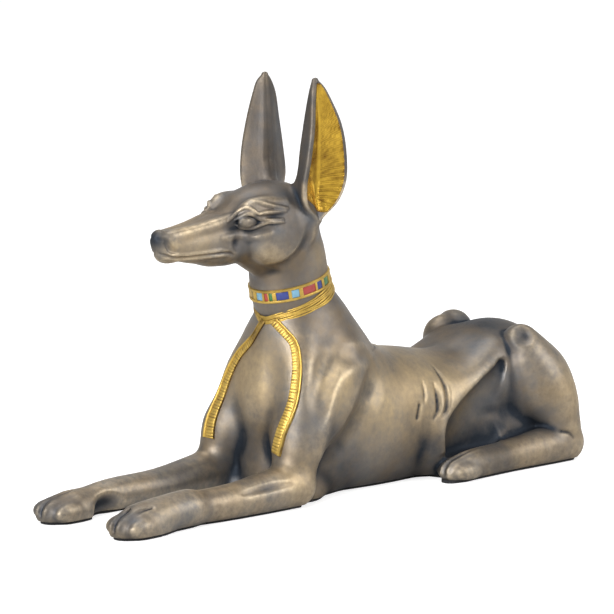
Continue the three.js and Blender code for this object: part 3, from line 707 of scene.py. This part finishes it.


# Each spot is a place on the near side in clay millimetres, its reach and its strength.
# Worn places that also hold painted highlight: the broad light on the flank and shoulder, the elbow, and the
# step of the muzzle
rubbedAndHighlit = [
    # Ribs and back, then the haunch
    [[24, 44, 38], 22, 1.1], [[24, 18, 34], 18, 1], [[0, 34, 50], 16, 0.6], [[18, 60, 46], 10, 0.4],
    [[33, 112, 30], 12, 0.8], [[34, 84, 10], 12, 0.2], [[34, 112, 12], 7, 0.7], [[22, 106, 42], 10, 0.5],
    # Chest, arm and paw
    [[0, -32, 48], 17, 1.1], [[27, -11, 45], 12, 1.2], [[27, -34, 12], 10, 0.85],
    [[26, -60, 10], 8, 0.4], [[26, -100, 8], 6, 0.4],
    # Neck, cheek and muzzle
    [[14, -5, 92], 7, 0.6], [[12, -34, 95], 6, 0.6], [[7, -66, 103], 11, 0.75],
    [[4.6, -74.6, 102.4], 2.6, 1.2],
]
# Painted shade under the belly, behind the elbows, in the haunch hollow, over the knee and on the feet, and
# the darker patina of nose and eyes
darkened = [
    # Nose, eye and ear root
    [[1, -82, 105.4], 5.4, 0.9], [[10, -48.5, 108], 4, 0.75], [[11.4, -42, 108.6], 2.6, 0.25],
    [[16, -26, 108], 8, 0.3], [[11, -14, 112], 6, 0.5],
    # Chest and foreleg
    [[0, -34, 20], 9, 0.5], [[25, -34, 20], 6, 0.35], [[22, -34, 28], 9, 0.3], [[22, -17, 29], 8, 0.5],
    [[14, -24, 32], 8, 0.3], [[17, -54, 13], 9, 0.3], [[20, -118, 8], 10, 0.55],
    # Belly and loin, then the top of the knee
    [[14, 30, 4], 12, 0.5], [[18, -2, 8], 10, 0.4], [[22, 44, 13], 11, 0.6], [[22, 53, 23], 7, 0.45],
    [[12, 66, 46], 8, 0.25], [[17, 78, 40], 6, 0.35], [[4, 93, 52], 13, 0.72],
    [[20, 95, 52], 9, 0.36], [[22, 90, 47], 5, 0.55],
    # The hollow behind the flank fold, then the hind foot
    [[24, 84, 14], 8, 0.7], [[21, 84, 28], 5, 0.5], [[22, 70, 12], 8, 0.6], [[23, 82, 17], 6, 0.8],
    [[21, 80, 22], 7, 0.4], [[32, 69, 10], 13, 0.5], [[28, 46, 8], 8, 0.45], [[29, 46, 8], 7, 0.4],
    [[30, 50, 3], 6, 0.7],
]
lighterHollows = [[[21, 66, 28], 13, 0.7], [[26, -14, 44], 14, 0.7]]  # where the hollows take less patina and painted shade

dark = spots(darkened)
ears = np.clip((points[:, 2] - patina["earStart"]) / patina["earRise"], 0, 1)
onEdges = {name: patina[name]["edges"] for name in bends}
onEdges["fine"] = np.where(inHead, patina["fine"]["headEdges"], onEdges["fine"])
# Bright edges: the wear on them, and painted highlight
crest = sum(onEdges[name] * bends[name] for name in bends)
crest *= patina["edges"] * (1 - patina["earEdges"] * ears) * (1 - dark)
# Dark patina in the grooves, and painted shade where much clay stands round a place
hollow = sum(-patina[name]["grooves"] * bends[name] for name in bends)
hollow += patina["deep"]["shade"] * (deep - 0.5)
hollow = np.maximum(hollow, 0) * (1 - spots(lighterHollows))
setMask(cast, "crest", crest - patina["edgesOff"])
setMask(cast, "hollow", hollow + dark + patina["earShade"] * ears)
setMask(cast, "burnishAndHighlight", spots(rubbedAndHighlit) * (1 - ears) * (1 - dark))
setCoordinates(cast, placed(points))
smoothUpTo(cast, 50)
print("masks done")

# Pieces laid on the clay


# Points where rays in a ring's tilted plane meet the neck, smoothed a little
def ringPath(ring):
    count = 240
    points = []
    for i in range(count):
        angle = i / count * 2 * math.pi
        ray = np.array([math.sin(angle), -math.cos(angle), -ring["slope"] * math.cos(angle)])
        points.append(whole.hit(ringMiddle(ring) + 30 * ray, -ray))
    points = np.array(points)
    for _ in range(3):
        points = (np.roll(points, 1, 0) + 2 * points + np.roll(points, -1, 0)) / 4
    return points


def smoothNormals(points, closed):
    out = whole.outward(points, 1.6)
    for _ in range(6):
        ahead, behind = np.roll(out, -1, 0), np.roll(out, 1, 0)
        if not closed:
            ahead[-1], behind[0] = out[-1], out[0]
        out = ahead + 2 * out + behind
        out /= np.linalg.norm(out, axis=1, keepdims=True)
    return out


# A line on the clay: places along it by arc length, with sideways and outward directions
class Track:
    def __init__(self, points, closed):
        self.points, self.closed = points, closed
        self.out = smoothNormals(points, closed)
        if closed:
            self.points = np.vstack([points, points[:1]])
            self.out = np.vstack([self.out, self.out[:1]])
        gaps = np.linalg.norm(np.diff(self.points, axis=0), axis=1)
        self.at = np.concatenate([[0], np.cumsum(gaps)])
        self.length = self.at[-1]

    # Flat places (along, across, up) laid on the track
    def place(self, along, across, up):
        def read(values, s):
            if self.closed:
                s = np.mod(s, self.length)
            return np.stack([np.interp(s, self.at, values[:, d]) for d in range(3)], axis=-1)

        here = read(self.points, along)
        near = 0.8  # how far ahead and behind the course is read
        if self.closed:
            course = read(self.points, along + near) - read(self.points, along - near)
        else:
            ahead, behind = np.minimum(along + near, self.length), np.maximum(along - near, 0)
            course = read(self.points, ahead) - read(self.points, behind)
        course /= np.linalg.norm(course, axis=-1, keepdims=True)
        out = read(self.out, along)
        sideways = np.cross(out, course)
        sideways /= np.linalg.norm(sideways, axis=-1, keepdims=True)
        out = np.cross(course, sideways)
        return here + across[..., None] * sideways + up[..., None] * out


# A flat grid primitive whose columns run along a track
def newStrip(name, columns, rows):
    deselectAll()
    bpy.ops.mesh.primitive_grid_add(x_subdivisions=columns, y_subdivisions=rows, size=2)
    obj = bpy.context.object
    obj.name = obj.data.name = name
    return obj


def weld(obj):
    editAll(obj)
    bpy.ops.mesh.remove_doubles(threshold=1e-6)
    bpy.ops.mesh.normals_make_consistent(inside=False)
    bpy.ops.object.mode_set(mode="OBJECT")


# A strip laid on a track. section(along, turn) gives across, up and how dark a point is painted, for grooves
# and painted shade, and turn goes from 0 to 1 over the section.
def layStrip(name, track, section, columns, rows):
    obj = newStrip(name, columns, rows)
    co = coordinates(obj)
    along = (co[:, 0] + 1) / 2 * track.length
    across, up, groove = section(along, (co[:, 1] + 1) / 2)
    setCoordinates(obj, placed(track.place(along, across, up)))
    setMask(obj, "hollow", groove)
    weld(obj)
    smoothUpTo(obj, 50)
    return obj


neckTrack = Track(ringPath(collar), True)

# Collar: a gold band with raised borders, crossed by bars, and enamel set between them
bandProfile = np.array([  # across and up, as shares of the band's height and relief
    [-0.5, -1.2], [-0.5, 0.5], [-0.46, 0.95], [-0.38, 1], [-0.31, 0.85], [-0.28, 0.35],
    [0.28, 0.35], [0.31, 0.85], [0.38, 1], [0.46, 0.95], [0.5, 0.5], [0.5, -1.2],
])


# The two values of a profile, with turn from 0 to 1 over it
def onProfile(profile, turn):
    at = turn * (len(profile) - 1)
    return [np.interp(at, range(len(profile)), profile[:, d]) for d in (0, 1)]


def bandSection(along, turn):
    across, up = onProfile(bandProfile, turn)
    return across * collar["height"], up * collar["relief"], np.where(up < 0.4, 0.7, 0.1)


band = layStrip("collar_band", neckTrack, bandSection, 240, len(bandProfile) - 1)

enamels = {
    "start": 93.2,  # where the first cell begins along the band, in clay millimetres
    "cells": [  # colour, width along the band and the gold left after it
        ["sky", 3.0, 0.9], ["red", 1.4, 0.5], ["green", 1.3, 1.5], ["blue", 4.6, 1.2],
        ["sky", 3.0, 1.5], ["red", 5.8, 0.9], ["blue", 2.9, 1.3], ["green", 4.1, 0.0],
    ],
    "height": 0.57,  # of a cell, as a share of the band's
    "floor": 0.35,  # the band's floor and the bars' tops, as shares of its relief
    "barTop": 0.9,
    "proud": 0.12,  # how far the enamel stands above that floor
    "sunk": 0.4,  # how deep the tiles reach into the neck
    "cellBevel": 0.12,
    "barBevel": 0.15,
}


# A rounded block laid on the band
def tile(name, start, width, height, high, bevel):
    low = -enamels["sunk"]
    deselectAll()
    bpy.ops.mesh.primitive_cube_add(size=1)
    obj = bpy.context.object
    obj.name = name
    editAll(obj)
    bpy.ops.transform.resize(value=(width, height, high - low))
    bpy.ops.mesh.bevel(offset=bevel, segments=2, affect="EDGES")
    bpy.ops.mesh.subdivide(number_cuts=1)
    bpy.ops.object.mode_set(mode="OBJECT")
    co = coordinates(obj)
    up = co[:, 2] + (high + low) / 2
    setCoordinates(obj, placed(neckTrack.place(co[:, 0] + start + width / 2, co[:, 1], up)))
    smoothUpTo(obj, 40)
    return obj


cellTiles = {"sky": [], "red": [], "green": [], "blue": []}
bars = []
cellHeight = collar["height"] * enamels["height"]
cellTop = collar["relief"] * enamels["floor"] + enamels["proud"]
barTop = collar["relief"] * enamels["barTop"]
pattern = sum(width + gold for _, width, gold in enamels["cells"])
repeats = int(neckTrack.length // pattern)
spare = (neckTrack.length - repeats * pattern) / repeats
for repeat in range(repeats):
    at = enamels["start"] + repeat * (pattern + spare)
    for colour, width, gold in enamels["cells"]:
        cellTiles[colour].append(tile("cell", at, width, cellHeight, cellTop, enamels["cellBevel"]))
        at += width
        gold = gold or spare  # the last gap takes up what is left over
        if gold > 0.3:
            bars.append(tile("bar", at, gold, cellHeight + 0.4, barTop, enamels["barBevel"]))
        at += gold
goldBars = joined("collar_bars", bars)
cellPieces = {colour: joined("collar_" + colour, parts) for colour, parts in cellTiles.items()}
print("collar made")

# Cord: thin strands looped low round the neck, drawn together where they cross at the throat
cord = {
    "front": 68.8,  # height at the throat
    "slope": 0.39,  # rise towards the nape
    "strands": 6,
    "radius": 0.54,  # of a strand, as a share of the room it has
    "thinnest": 0.38,  # and its least radius
    "sway": 0.12,  # how far the strands wander
    "dull": 0.55,  # shade added beside the throat on the right
    "widths": [  # of the whole cord, by the distance from the middle of the throat to the left
        [-60, 5.6], [-27, 5.2], [-12, 2.6], [-6, 2.1], [0, 3], [4, 3.4], [14, 3.9], [27, 5.7], [60, 5.6],
    ],
    "lifts": [  # how far it is moved up, by the same distance
        [-45, 0], [-20, 1.4], [-10, 2.3], [-6, 0.9], [-2, -0.7], [1.4, -1], [5, -0.4], [9, 0], [45, 0],
    ],
}
cordTrack = Track(ringPath(cord), True)


def strandSection(number):
    def section(along, turn):
        s = (along + cordTrack.length / 2) % cordTrack.length - cordTrack.length / 2
        width = np.interp(s, *zip(*cord["widths"]))
        lift = np.interp(s, *zip(*cord["lifts"]))
        room = width / cord["strands"]
        radius = np.maximum(room * cord["radius"], cord["thinnest"])
        angle = turn * 2 * math.pi
        sway = cord["sway"] * np.sin(s * 0.35 + number * 2.1)
        across = lift + (number + 0.5) * room - width / 2 + sway + radius * np.cos(angle)
        up = 0.3 + cord["sway"] * np.sin(s * 0.5 + number * 1.3) + radius * np.sin(angle)
        dull = cord["dull"] * np.clip(-s / 4, 0, 1) * np.clip((s + 30) / 10, 0, 1)
        # Painted shade on the lower half of each strand, and the dull shade beside the throat
        return across, up, np.clip(1.15 - up / radius, 0, 1) + dull

    return section


cordPiece = joined(
    "cord", [layStrip("strand", cordTrack, strandSection(n), 280, 10) for n in range(cord["strands"])]
)

# Streamers: ribbed bands that hang from the knot along the edges of the chest
streamer = {
    "neckWidth": 2.4,  # while it is narrow and plain, next to the knot
    "topWidth": 3.5,
    "endWidth": 5.4,
    "relief": 1.1,
    "rib": 1.2,  # from rib to rib
}
streamerProfile = np.array([  # from the inner edge to the outer, which has a plain raised border
    [-1, -0.9], [-0.99, 0.3], [-0.93, 0.68], [-0.8, 0.8], [-0.2, 0.84], [0.42, 0.8], [0.52, 0.62],
    [0.6, 0.92], [0.74, 1.04], [0.88, 0.98], [0.98, 0.5], [1, -0.9],
])
streamerSides = [  # side, how far down it stays narrow, and its line in the front view as [x, z]
    [1, -2, [
        [5, 68], [10, 64.2], [13.6, 61], [16.4, 56.2], [18.8, 50], [20, 42],
        [20.2, 34], [19.4, 27], [18.2, 20.4],
    ]],
    [-1, 9, [
        [0.5, 68], [-4.4, 60.6], [-11.6, 53.4], [-15.6, 45], [-17.6, 36], [-18.6, 28], [-18.8, 21.6],
    ]],
]


def streamerTrack(line):
    line = smoothLine([[x, z, 0] for x, z in line], 20)
    points = np.array([whole.hit([x, -70, z], [0, 1, 0]) for x, z, _ in line])
    for _ in range(4):
        points[1:-1] = (points[:-2] + 2 * points[1:-1] + points[2:]) / 4
    return Track(points, False)


# A ribbed ribbon, rounded off at its end, that is plain as far down as it is narrow
def streamerSection(track, sideX, narrow):
    def section(along, turn):
        end = np.clip((track.length - along) / 0.3, 0, 1) ** 0.5
        full = np.clip((along - narrow) / 5 + 0.5, 0, 1)
        full = full * full * (3 - 2 * full)  # eases in and out
        wide = np.interp(along / track.length, [0.2, 1], [streamer["topWidth"], streamer["endWidth"]])
        width = streamer["neckWidth"] + full * (wide - streamer["neckWidth"])
        u, up = onProfile(streamerProfile, turn if sideX > 0 else 1 - turn)
        ribbed = full * np.clip((0.5 - u) * 8, 0, 1) * (up > 0)
        wave = 0.5 + 0.5 * np.cos(along / streamer["rib"] * 2 * math.pi)
        groove = wave**3 * ribbed * (0.7 + 0.3 * np.sin(along * 1.7))  # some ribs are fainter
        across = sideX * u * width / 2
        up = np.where(up > 0, (up - 0.2 * groove) * streamer["relief"] * end, up)
        # Darker in the rib grooves, along the low edges, and where the ribbon is narrow by the knot
        darkening = 0.75 * groove + np.where(up < 0.55, 0.75, 0) + 0.6 * (1 - full)
        return across, up, np.clip(darkening, 0, 1)

    return section


streamers = []
for sideX, narrow, line in streamerSides:
    track = streamerTrack(line)
    section = streamerSection(track, sideX, narrow)
    streamers.append(layStrip("streamer", track, section, 440, len(streamerProfile) - 1))
streamerPiece = joined("streamers", streamers)
print("cord and streamers made")

# Ear gilding: a skin of gold in the hollow of each ear, with a raised fold and fine barbs behind it
gilding = {
    "rim": -0.25,  # from the middle of the ear's edge, so that it wraps a little over it
    "front": 117.4,  # where the gold starts in front, and at its lowest
    "low": 109.2,
    "high": 158.4,
    "width": 20,  # about how wide and high the gold is, and how wide at its narrower places
    "height": 48,
    "least": 18,
    "thickness": 0.1,
    "fold": 0.6,  # place of the fold, as a share of the way from the front edge to the back
    "foldHeight": 0.6,
    "foldWidth": 0.42,
    "barb": 1,  # spacing of the barbs
    "barbHeight": 0.24,
    "barbStart": 1.2,  # how far behind the fold they reach their height
    "lean": 1.1,  # how steeply they rise behind the fold
    "columns": 40,
    "rows": 300,
}


def earGilding(sideX):
    obj = newStrip("ear_gilding", gilding["columns"], gilding["rows"])
    co = coordinates(obj)
    u, v = (co[:, 0] + 1) / 2, (co[:, 1] + 1) / 2
    lines = railLines(earRails)
    low = gilding["low"] + (gilding["front"] - gilding["low"]) * np.clip(1 - u / 0.55, 0, 1) ** 1.5
    z = low + v * (gilding["high"] - low)
    points = np.empty((len(co), 3))
    for i, level in enumerate(z):
        curve = levelLine(lines, level, 16)
        gaps = np.linalg.norm(np.diff(curve, axis=0), axis=1)
        run = np.concatenate([[0], np.cumsum(gaps)])
        s = gilding["rim"] + u[i] * (run[-1] - 2 * gilding["rim"])
        k = min(max(np.searchsorted(run, s) - 1, 0), len(gaps) - 1)
        course = (curve[k + 1] - curve[k]) / gaps[k]
        here = curve[k] + (s - run[k]) * course
        points[i] = [*(here + np.array([course[1], -course[0]]) * (earHalf + 0.4)), level]
    # About millimetres from the nearest edge, and behind the fold
    edge = np.minimum(np.minimum(u, 1 - u) * gilding["least"], np.minimum(v, 1 - v) * gilding["height"])
    behindFold = (u - gilding["fold"]) * gilding["width"]
    fades = np.clip((0.86 - v) * 6, 0, 1)
    fold = np.exp(-((behindFold / gilding["foldWidth"]) ** 2)) * fades
    # The barbs lean more towards the tip, waver a little, and aren't all as high.
    lean = gilding["lean"] * np.clip(v * 1.7 - 0.1, -0.4, 1)
    rise = z - lean * behindFold + 0.03 * behindFold**2 + 0.35 * np.sin(z * 2.3)
    phase = rise / gilding["barb"]
    uneven = 0.5 + 0.5 * np.sin(np.floor(phase) * 12.9)
    behind = np.clip(behindFold / gilding["barbStart"], 0, 1)
    barbs = (0.5 + 0.5 * np.cos(phase * 2 * math.pi)) * (0.4 + 0.6 * uneven) * behind
    height = gilding["thickness"] + gilding["foldHeight"] * fold + gilding["barbHeight"] * barbs
    height = np.where(edge < 0.05, -0.25, height)  # the rim dips into the ear
    for _ in range(8):
        points += head.outward(points, 0.5) * (height - head.at(points))[:, None] * 0.7
    points[:, 0] *= sideX
    setCoordinates(obj, placed(points))
    # Painted shade between the barbs, in front of the fold and at the rim, and painted highlight on the fold
    # and towards the back edge
    shade = 0.62 * behind * (1 - barbs) - fold + np.where(behindFold < 0, 0.6, 0)
    shade += 0.7 * np.exp(-((edge / 0.6) ** 2)) - 0.3 * np.clip(u * 3 - 2.1, 0, 1)
    setMask(obj, "hollow", shade)
    weld(obj)
    makeActive(obj)
    bpy.ops.object.shade_smooth()
    return obj


gildingPiece = joined("ear_gilding", [earGilding(1), earGilding(-1)])
print("ears gilded")

# Finishes


def newGroup(name, inputs, outputs):
    group = bpy.data.node_groups.new(name, "ShaderNodeTree")
    for label, value in inputs:
        socket = group.interface.new_socket(label, in_out="INPUT", socket_type="NodeSocketFloat")
        socket.default_value = value
    for label in outputs:
        group.interface.new_socket(label, in_out="OUTPUT", socket_type="NodeSocketFloat")
    return group, group.nodes.new("NodeGroupInput"), group.nodes.new("NodeGroupOutput")


# Links a socket to another one, or gives it a plain value
def feed(tree, socket, value):
    if isinstance(value, bpy.types.NodeSocket):
        tree.links.new(value, socket)
    else:
        socket.default_value = value


def addNode(tree, kind, **values):
    node = tree.nodes.new(kind)
    for name, value in values.items():
        feed(tree, node.inputs[name], value)
    return node


def mixColour(tree, factor, a, b):
    node = tree.nodes.new("ShaderNodeMix")
    node.data_type = "RGBA"
    for index, value in ((0, factor), (6, a), (7, b)):  # the sockets that mix colours
        feed(tree, node.inputs[index], value)
    return node.outputs[2]


def mathNode(tree, kind, a, b=0.5, clamp=False):
    node = tree.nodes.new("ShaderNodeMath")
    node.operation, node.use_clamp = kind, clamp
    feed(tree, node.inputs[0], a)
    feed(tree, node.inputs[1], b)
    return node.outputs[0]


def plus(tree, a, b, clamp=False):
    return mathNode(tree, "ADD", a, b, clamp)


def times(tree, a, b, clamp=False):
    return mathNode(tree, "MULTIPLY", a, b, clamp)


def minus(tree, a, b, clamp=False):
    return mathNode(tree, "SUBTRACT", a, b, clamp)


def noise(tree, place, scale, detail, roughness):
    node = addNode(
        tree, "ShaderNodeTexNoise", Vector=place, Scale=scale, Detail=detail, Roughness=roughness
    )
    return node.outputs["Fac"]


# Cloudy tone and fine pores of a cast and painted surface
def castGrainGroup():
    group, given, result = newGroup(
        "castGrain", [("Cloud Size", 60), ("Pore Size", 900)], ["Cloud", "Pores", "Height"]
    )
    place = group.nodes.new("ShaderNodeTexCoord").outputs["Object"]
    cloud = noise(group, place, given.outputs["Cloud Size"], 4, 0.6)
    pores = noise(group, place, given.outputs["Pore Size"], 3, 0.7)
    height = plus(group, times(group, cloud, 0.4), times(group, pores, 0.6))
    for label, value in (("Cloud", cloud), ("Pores", pores), ("Height", height)):
        group.links.new(value, result.inputs[label])
    return group


castGrain = castGrainGroup()


def newMaterial(name, metallic, roughness, coat=0):
    material = bpy.data.materials.new(name)
    material.use_nodes = True
    shader = material.node_tree.nodes["Principled BSDF"]
    shader.inputs["Metallic"].default_value = metallic
    shader.inputs["Roughness"].default_value = roughness
    shader.inputs["Coat Weight"].default_value = coat
    return material, material.node_tree, shader


# Stretches a part of a noise's range to 0 to 1
def spread(tree, value, low, high):
    ends = {"From Min": low, "From Max": high}
    return addNode(tree, "ShaderNodeMapRange", Value=value, **ends).outputs["Result"]


def mask(tree, name):
    node = tree.nodes.new("ShaderNodeAttribute")
    node.attribute_name = name
    return node.outputs["Fac"]


def grain(tree, cloud, pore):
    node = tree.nodes.new("ShaderNodeGroup")
    node.node_tree = castGrain
    node.inputs["Cloud Size"].default_value = cloud
    node.inputs["Pore Size"].default_value = pore
    return node


def addBump(tree, shader, height, strength):
    bump = addNode(tree, "ShaderNodeBump", Height=height, Strength=strength, Distance=0.0004)
    tree.links.new(bump.outputs["Normal"], shader.inputs["Normal"])


bronze = {
    "dark": (0.022, 0.028, 0.038, 1),  # in the hollows: their patina, and painted shade
    "grey": (0.150, 0.152, 0.158, 1),  # where nothing has rubbed it, with clouds of brown
    "brown": (0.190, 0.145, 0.098, 1),
    "warm": (0.475, 0.362, 0.212, 1),  # where handling rubs it, and painted highlight over the flank, elbow and muzzle
    "bright": (0.700, 0.570, 0.390, 1),  # on edges: their wear, and painted highlight
    "blotches": (38, 1500),  # cloud and pore sizes, as scales of the noise
    "patches": (120, 700),
    "specks": (420, 1100),
    "metallic": 0.85,
    "roughness": 0.41,  # and what pores and hollows add to it
    "poreRoughness": 0.12,
    "hollowRoughness": 0.2,
    "bump": 0.22,
}


def bronzeMaterial():
    material, tree, shader = newMaterial("bronzePatina", bronze["metallic"], bronze["roughness"])
    blotches, patches, specks = (grain(tree, *bronze[name]) for name in ("blotches", "patches", "specks"))
    crest, hollow, burnishAndHighlight = (mask(tree, name) for name in ("crest", "hollow", "burnishAndHighlight"))
    blotch = spread(tree, blotches.outputs["Cloud"], 0.42, 0.6)
    patch = spread(tree, patches.outputs["Cloud"], 0.3, 0.7)
    speck = spread(tree, specks.outputs["Cloud"], 0.35, 0.7)
    pore = spread(tree, blotches.outputs["Pores"], 0.3, 0.75)
    mottle = plus(tree, times(tree, blotch, 0.6), times(tree, patch, 0.4))
    colour = mixColour(tree, mottle, bronze["grey"], bronze["brown"])
    # Rubbing and painted highlight show unevenly, and take some of the grime away.
    uneven = plus(tree, plus(tree, times(tree, speck, 0.3), times(tree, patch, 0.4)), 0.42)
    rubAndHighlight = times(tree, burnishAndHighlight, uneven, clamp=True)
    colour = mixColour(tree, rubAndHighlight, colour, bronze["warm"])
    # Bright edges: wear, and painted highlight
    edge = times(tree, crest, plus(tree, speck, 0.4), clamp=True)
    colour = mixColour(tree, edge, colour, bronze["bright"])
    grime = minus(tree, times(tree, minus(tree, 0.6, patch), 0.25), times(tree, rubAndHighlight, 0.3))
    # Painted shade and patina from the hollow mask, with grime
    shade = plus(tree, hollow, grime, clamp=True)
    colour = mixColour(tree, shade, colour, bronze["dark"])
    tree.links.new(colour, shader.inputs["Base Color"])
    rough = plus(tree, times(tree, pore, bronze["poreRoughness"]), bronze["roughness"])
    rough = plus(tree, rough, times(tree, shade, bronze["hollowRoughness"]), clamp=True)
    tree.links.new(rough, shader.inputs["Roughness"])
    addBump(tree, shader, patches.outputs["Height"], bronze["bump"])
    return material


earGold = {
    "bright": (0.72, 0.45, 0.05, 1),
    "dark": (0.14, 0.06, 0.004, 1),
    "metallic": 0.72,
    "roughness": 0.27,
    "grain": (190, 1500),
    "bump": 0.5,
}
cordGold = {
    "bright": (0.60, 0.405, 0.09, 1),
    "dark": (0.10, 0.055, 0.02, 1),
    "metallic": 0.72,
    "roughness": 0.42,
    "grain": (190, 1500),
    "bump": 0.3,
}


def goldMaterial(name, gold):
    material, tree, shader = newMaterial(name, gold["metallic"], gold["roughness"])
    texture = grain(tree, *gold["grain"])
    worn = spread(tree, texture.outputs["Cloud"], 0.35, 0.7)
    # Darker where the hollow mask is: painted shade in the gaps and grooves
    dark = times(tree, mask(tree, "hollow"), plus(tree, worn, 0.55), clamp=True)
    colour = mixColour(tree, times(tree, worn, 0.4), gold["bright"], gold["dark"])
    tree.links.new(mixColour(tree, dark, colour, gold["dark"]), shader.inputs["Base Color"])
    addBump(tree, shader, texture.outputs["Height"], gold["bump"])
    return material


enamel = {
    "sky": (0.20, 0.42, 0.58, 1),
    "red": (0.42, 0.05, 0.04, 1),
    "green": (0.05, 0.20, 0.06, 1),
    "blue": (0.03, 0.05, 0.26, 1),
    "cloud": 0.55,  # how bright its clouds are beside the plain colour
    "grain": (500, 2000),
    "roughness": 0.3,
    "coat": 0.4,
}


def enamelMaterial(name, colour):
    material, tree, shader = newMaterial(name, 0, enamel["roughness"], enamel["coat"])
    texture = grain(tree, *enamel["grain"])
    darker = tuple(c * enamel["cloud"] for c in colour[:3]) + (1,)
    tree.links.new(mixColour(tree, texture.outputs["Cloud"], colour, darker), shader.inputs["Base Color"])
    return material


felt = {
    "dark": (0.008, 0.008, 0.009, 1),
    "light": (0.03, 0.03, 0.033, 1),
    "grain": (300, 2500),
    "roughness": 0.95,
    "bump": 0.5,
}


def feltMaterial():
    material, tree, shader = newMaterial("blackFelt", 0, felt["roughness"])
    fibres = grain(tree, *felt["grain"]).outputs["Pores"]
    tree.links.new(mixColour(tree, fibres, felt["dark"], felt["light"]), shader.inputs["Base Color"])
    addBump(tree, shader, fibres, felt["bump"])
    return material


bronzeFinish, feltFinish = bronzeMaterial(), feltMaterial()
earFinish, cordFinish = goldMaterial("earGold", earGold), goldMaterial("cordGold", cordGold)


def finish(obj, material):
    obj.data.materials.clear()
    obj.data.materials.append(material)
    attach(obj, "root")


finish(cast, bronzeFinish)
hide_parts("jackal")
finish(gildingPiece, earFinish)
for piece in (band, goldBars, cordPiece, streamerPiece):
    finish(piece, cordFinish)
for colour, piece in cellPieces.items():
    finish(piece, enamelMaterial("enamel_" + colour, enamel[colour]))
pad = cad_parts["felt_pad"]
pad.data.materials.clear()
pad.data.materials.append(feltFinish)
print("finishes set")

# Floor, light and camera
studio = {
    "azimuth": 45.6,  # the camera's place round the figure, from straight ahead of it
    "elevation": 9.4,
    "distance": 2.0,
    "target": (0, -0.0015, 0.0705),
    "focal": 5248,  # in pixels of the picture, which is so many wide
    "picture": 614,
    "lamps": [  # place, size and power
        [(-0.1, 0.0, 1.3), 1.0, 11],
        [(0.4, -1.25, 0.7), 0.8, 24],
        [(0.95, 0.55, 0.6), 0.7, 6.5],
    ],
    "sky": 0.34,  # brightness of the room overhead
    "horizon": 0.7,  # and at the level of the eye
    "wall": 0.7,  # what the pale wall behind the figure adds
    "backdrop": 1.0,  # the wall as the camera sees it
    "floorGlow": 0.7,  # light of the floor's own, as the camera sees it
}
white = (1, 1, 1, 1)

deselectAll()
bpy.ops.mesh.primitive_plane_add(size=6, location=(0, 0, -0.0001))
floorPlane = bpy.context.object
floorPlane.name = "floor"
floorMaterial, tree, shader = newMaterial("paleFloor", 0, 0.8)
shader.inputs["Base Color"].default_value = (0.55, 0.55, 0.55, 1)
shader.inputs["Emission Color"].default_value = white
cameraRay = tree.nodes.new("ShaderNodeLightPath").outputs["Is Camera Ray"]
tree.links.new(times(tree, cameraRay, studio["floorGlow"]), shader.inputs["Emission Strength"])
floorPlane.data.materials.append(floorMaterial)

target = Vector(studio["target"])


def aim(obj):
    obj.rotation_euler = (target - obj.location).to_track_quat("-Z", "Y").to_euler()


turn, lift = math.radians(studio["azimuth"]), math.radians(studio["elevation"])
away = Vector((math.sin(turn) * math.cos(lift), -math.cos(turn) * math.cos(lift), math.sin(lift)))
deselectAll()
bpy.ops.object.camera_add(location=target + studio["distance"] * away)
camera = bpy.context.object
aim(camera)
camera.data.sensor_width = 36
camera.data.lens = camera.data.sensor_width * studio["focal"] / studio["picture"]
camera.data.clip_start = 0.05
bpy.context.scene.camera = camera
for place, size, power in studio["lamps"]:
    bpy.ops.object.light_add(type="AREA", location=place)
    lamp = bpy.context.object
    lamp.data.size, lamp.data.energy = size, power
    aim(lamp)

# The room is brightest at the level of the eye, and a pale wall stands behind the figure.
world = bpy.data.worlds.new("studio")
world.use_nodes = True
tree = world.node_tree
ray = tree.nodes.new("ShaderNodeSeparateXYZ")
tree.links.new(tree.nodes.new("ShaderNodeTexCoord").outputs["Generated"], ray.inputs[0])
steep = mathNode(tree, "ABSOLUTE", ray.outputs["Z"])
level = mathNode(tree, "POWER", minus(tree, 1, steep), 2)
glow = times(tree, level, studio["horizon"] - studio["sky"])
behind = minus(tree, minus(tree, ray.outputs["Y"], ray.outputs["X"]), 0.5, clamp=True)
glow = plus(tree, glow, times(tree, times(tree, behind, level), studio["wall"]))
room = tree.nodes["Background"]
tree.links.new(plus(tree, glow, studio["sky"]), room.inputs["Strength"])
backdrop = tree.nodes.new("ShaderNodeBackground")
backdrop.inputs["Strength"].default_value = studio["backdrop"]
for node in (room, backdrop):
    node.inputs["Color"].default_value = white
cameraRay = tree.nodes.new("ShaderNodeLightPath").outputs["Is Camera Ray"]
both = tree.nodes.new("ShaderNodeMixShader")
for socket, value in zip(both.inputs, (cameraRay, room.outputs[0], backdrop.outputs[0])):
    tree.links.new(value, socket)
tree.links.new(both.outputs[0], tree.nodes["World Output"].inputs["Surface"])
bpy.context.scene.world = world
bpy.context.scene.view_settings.view_transform = "Standard"
print("floor, light and camera set")
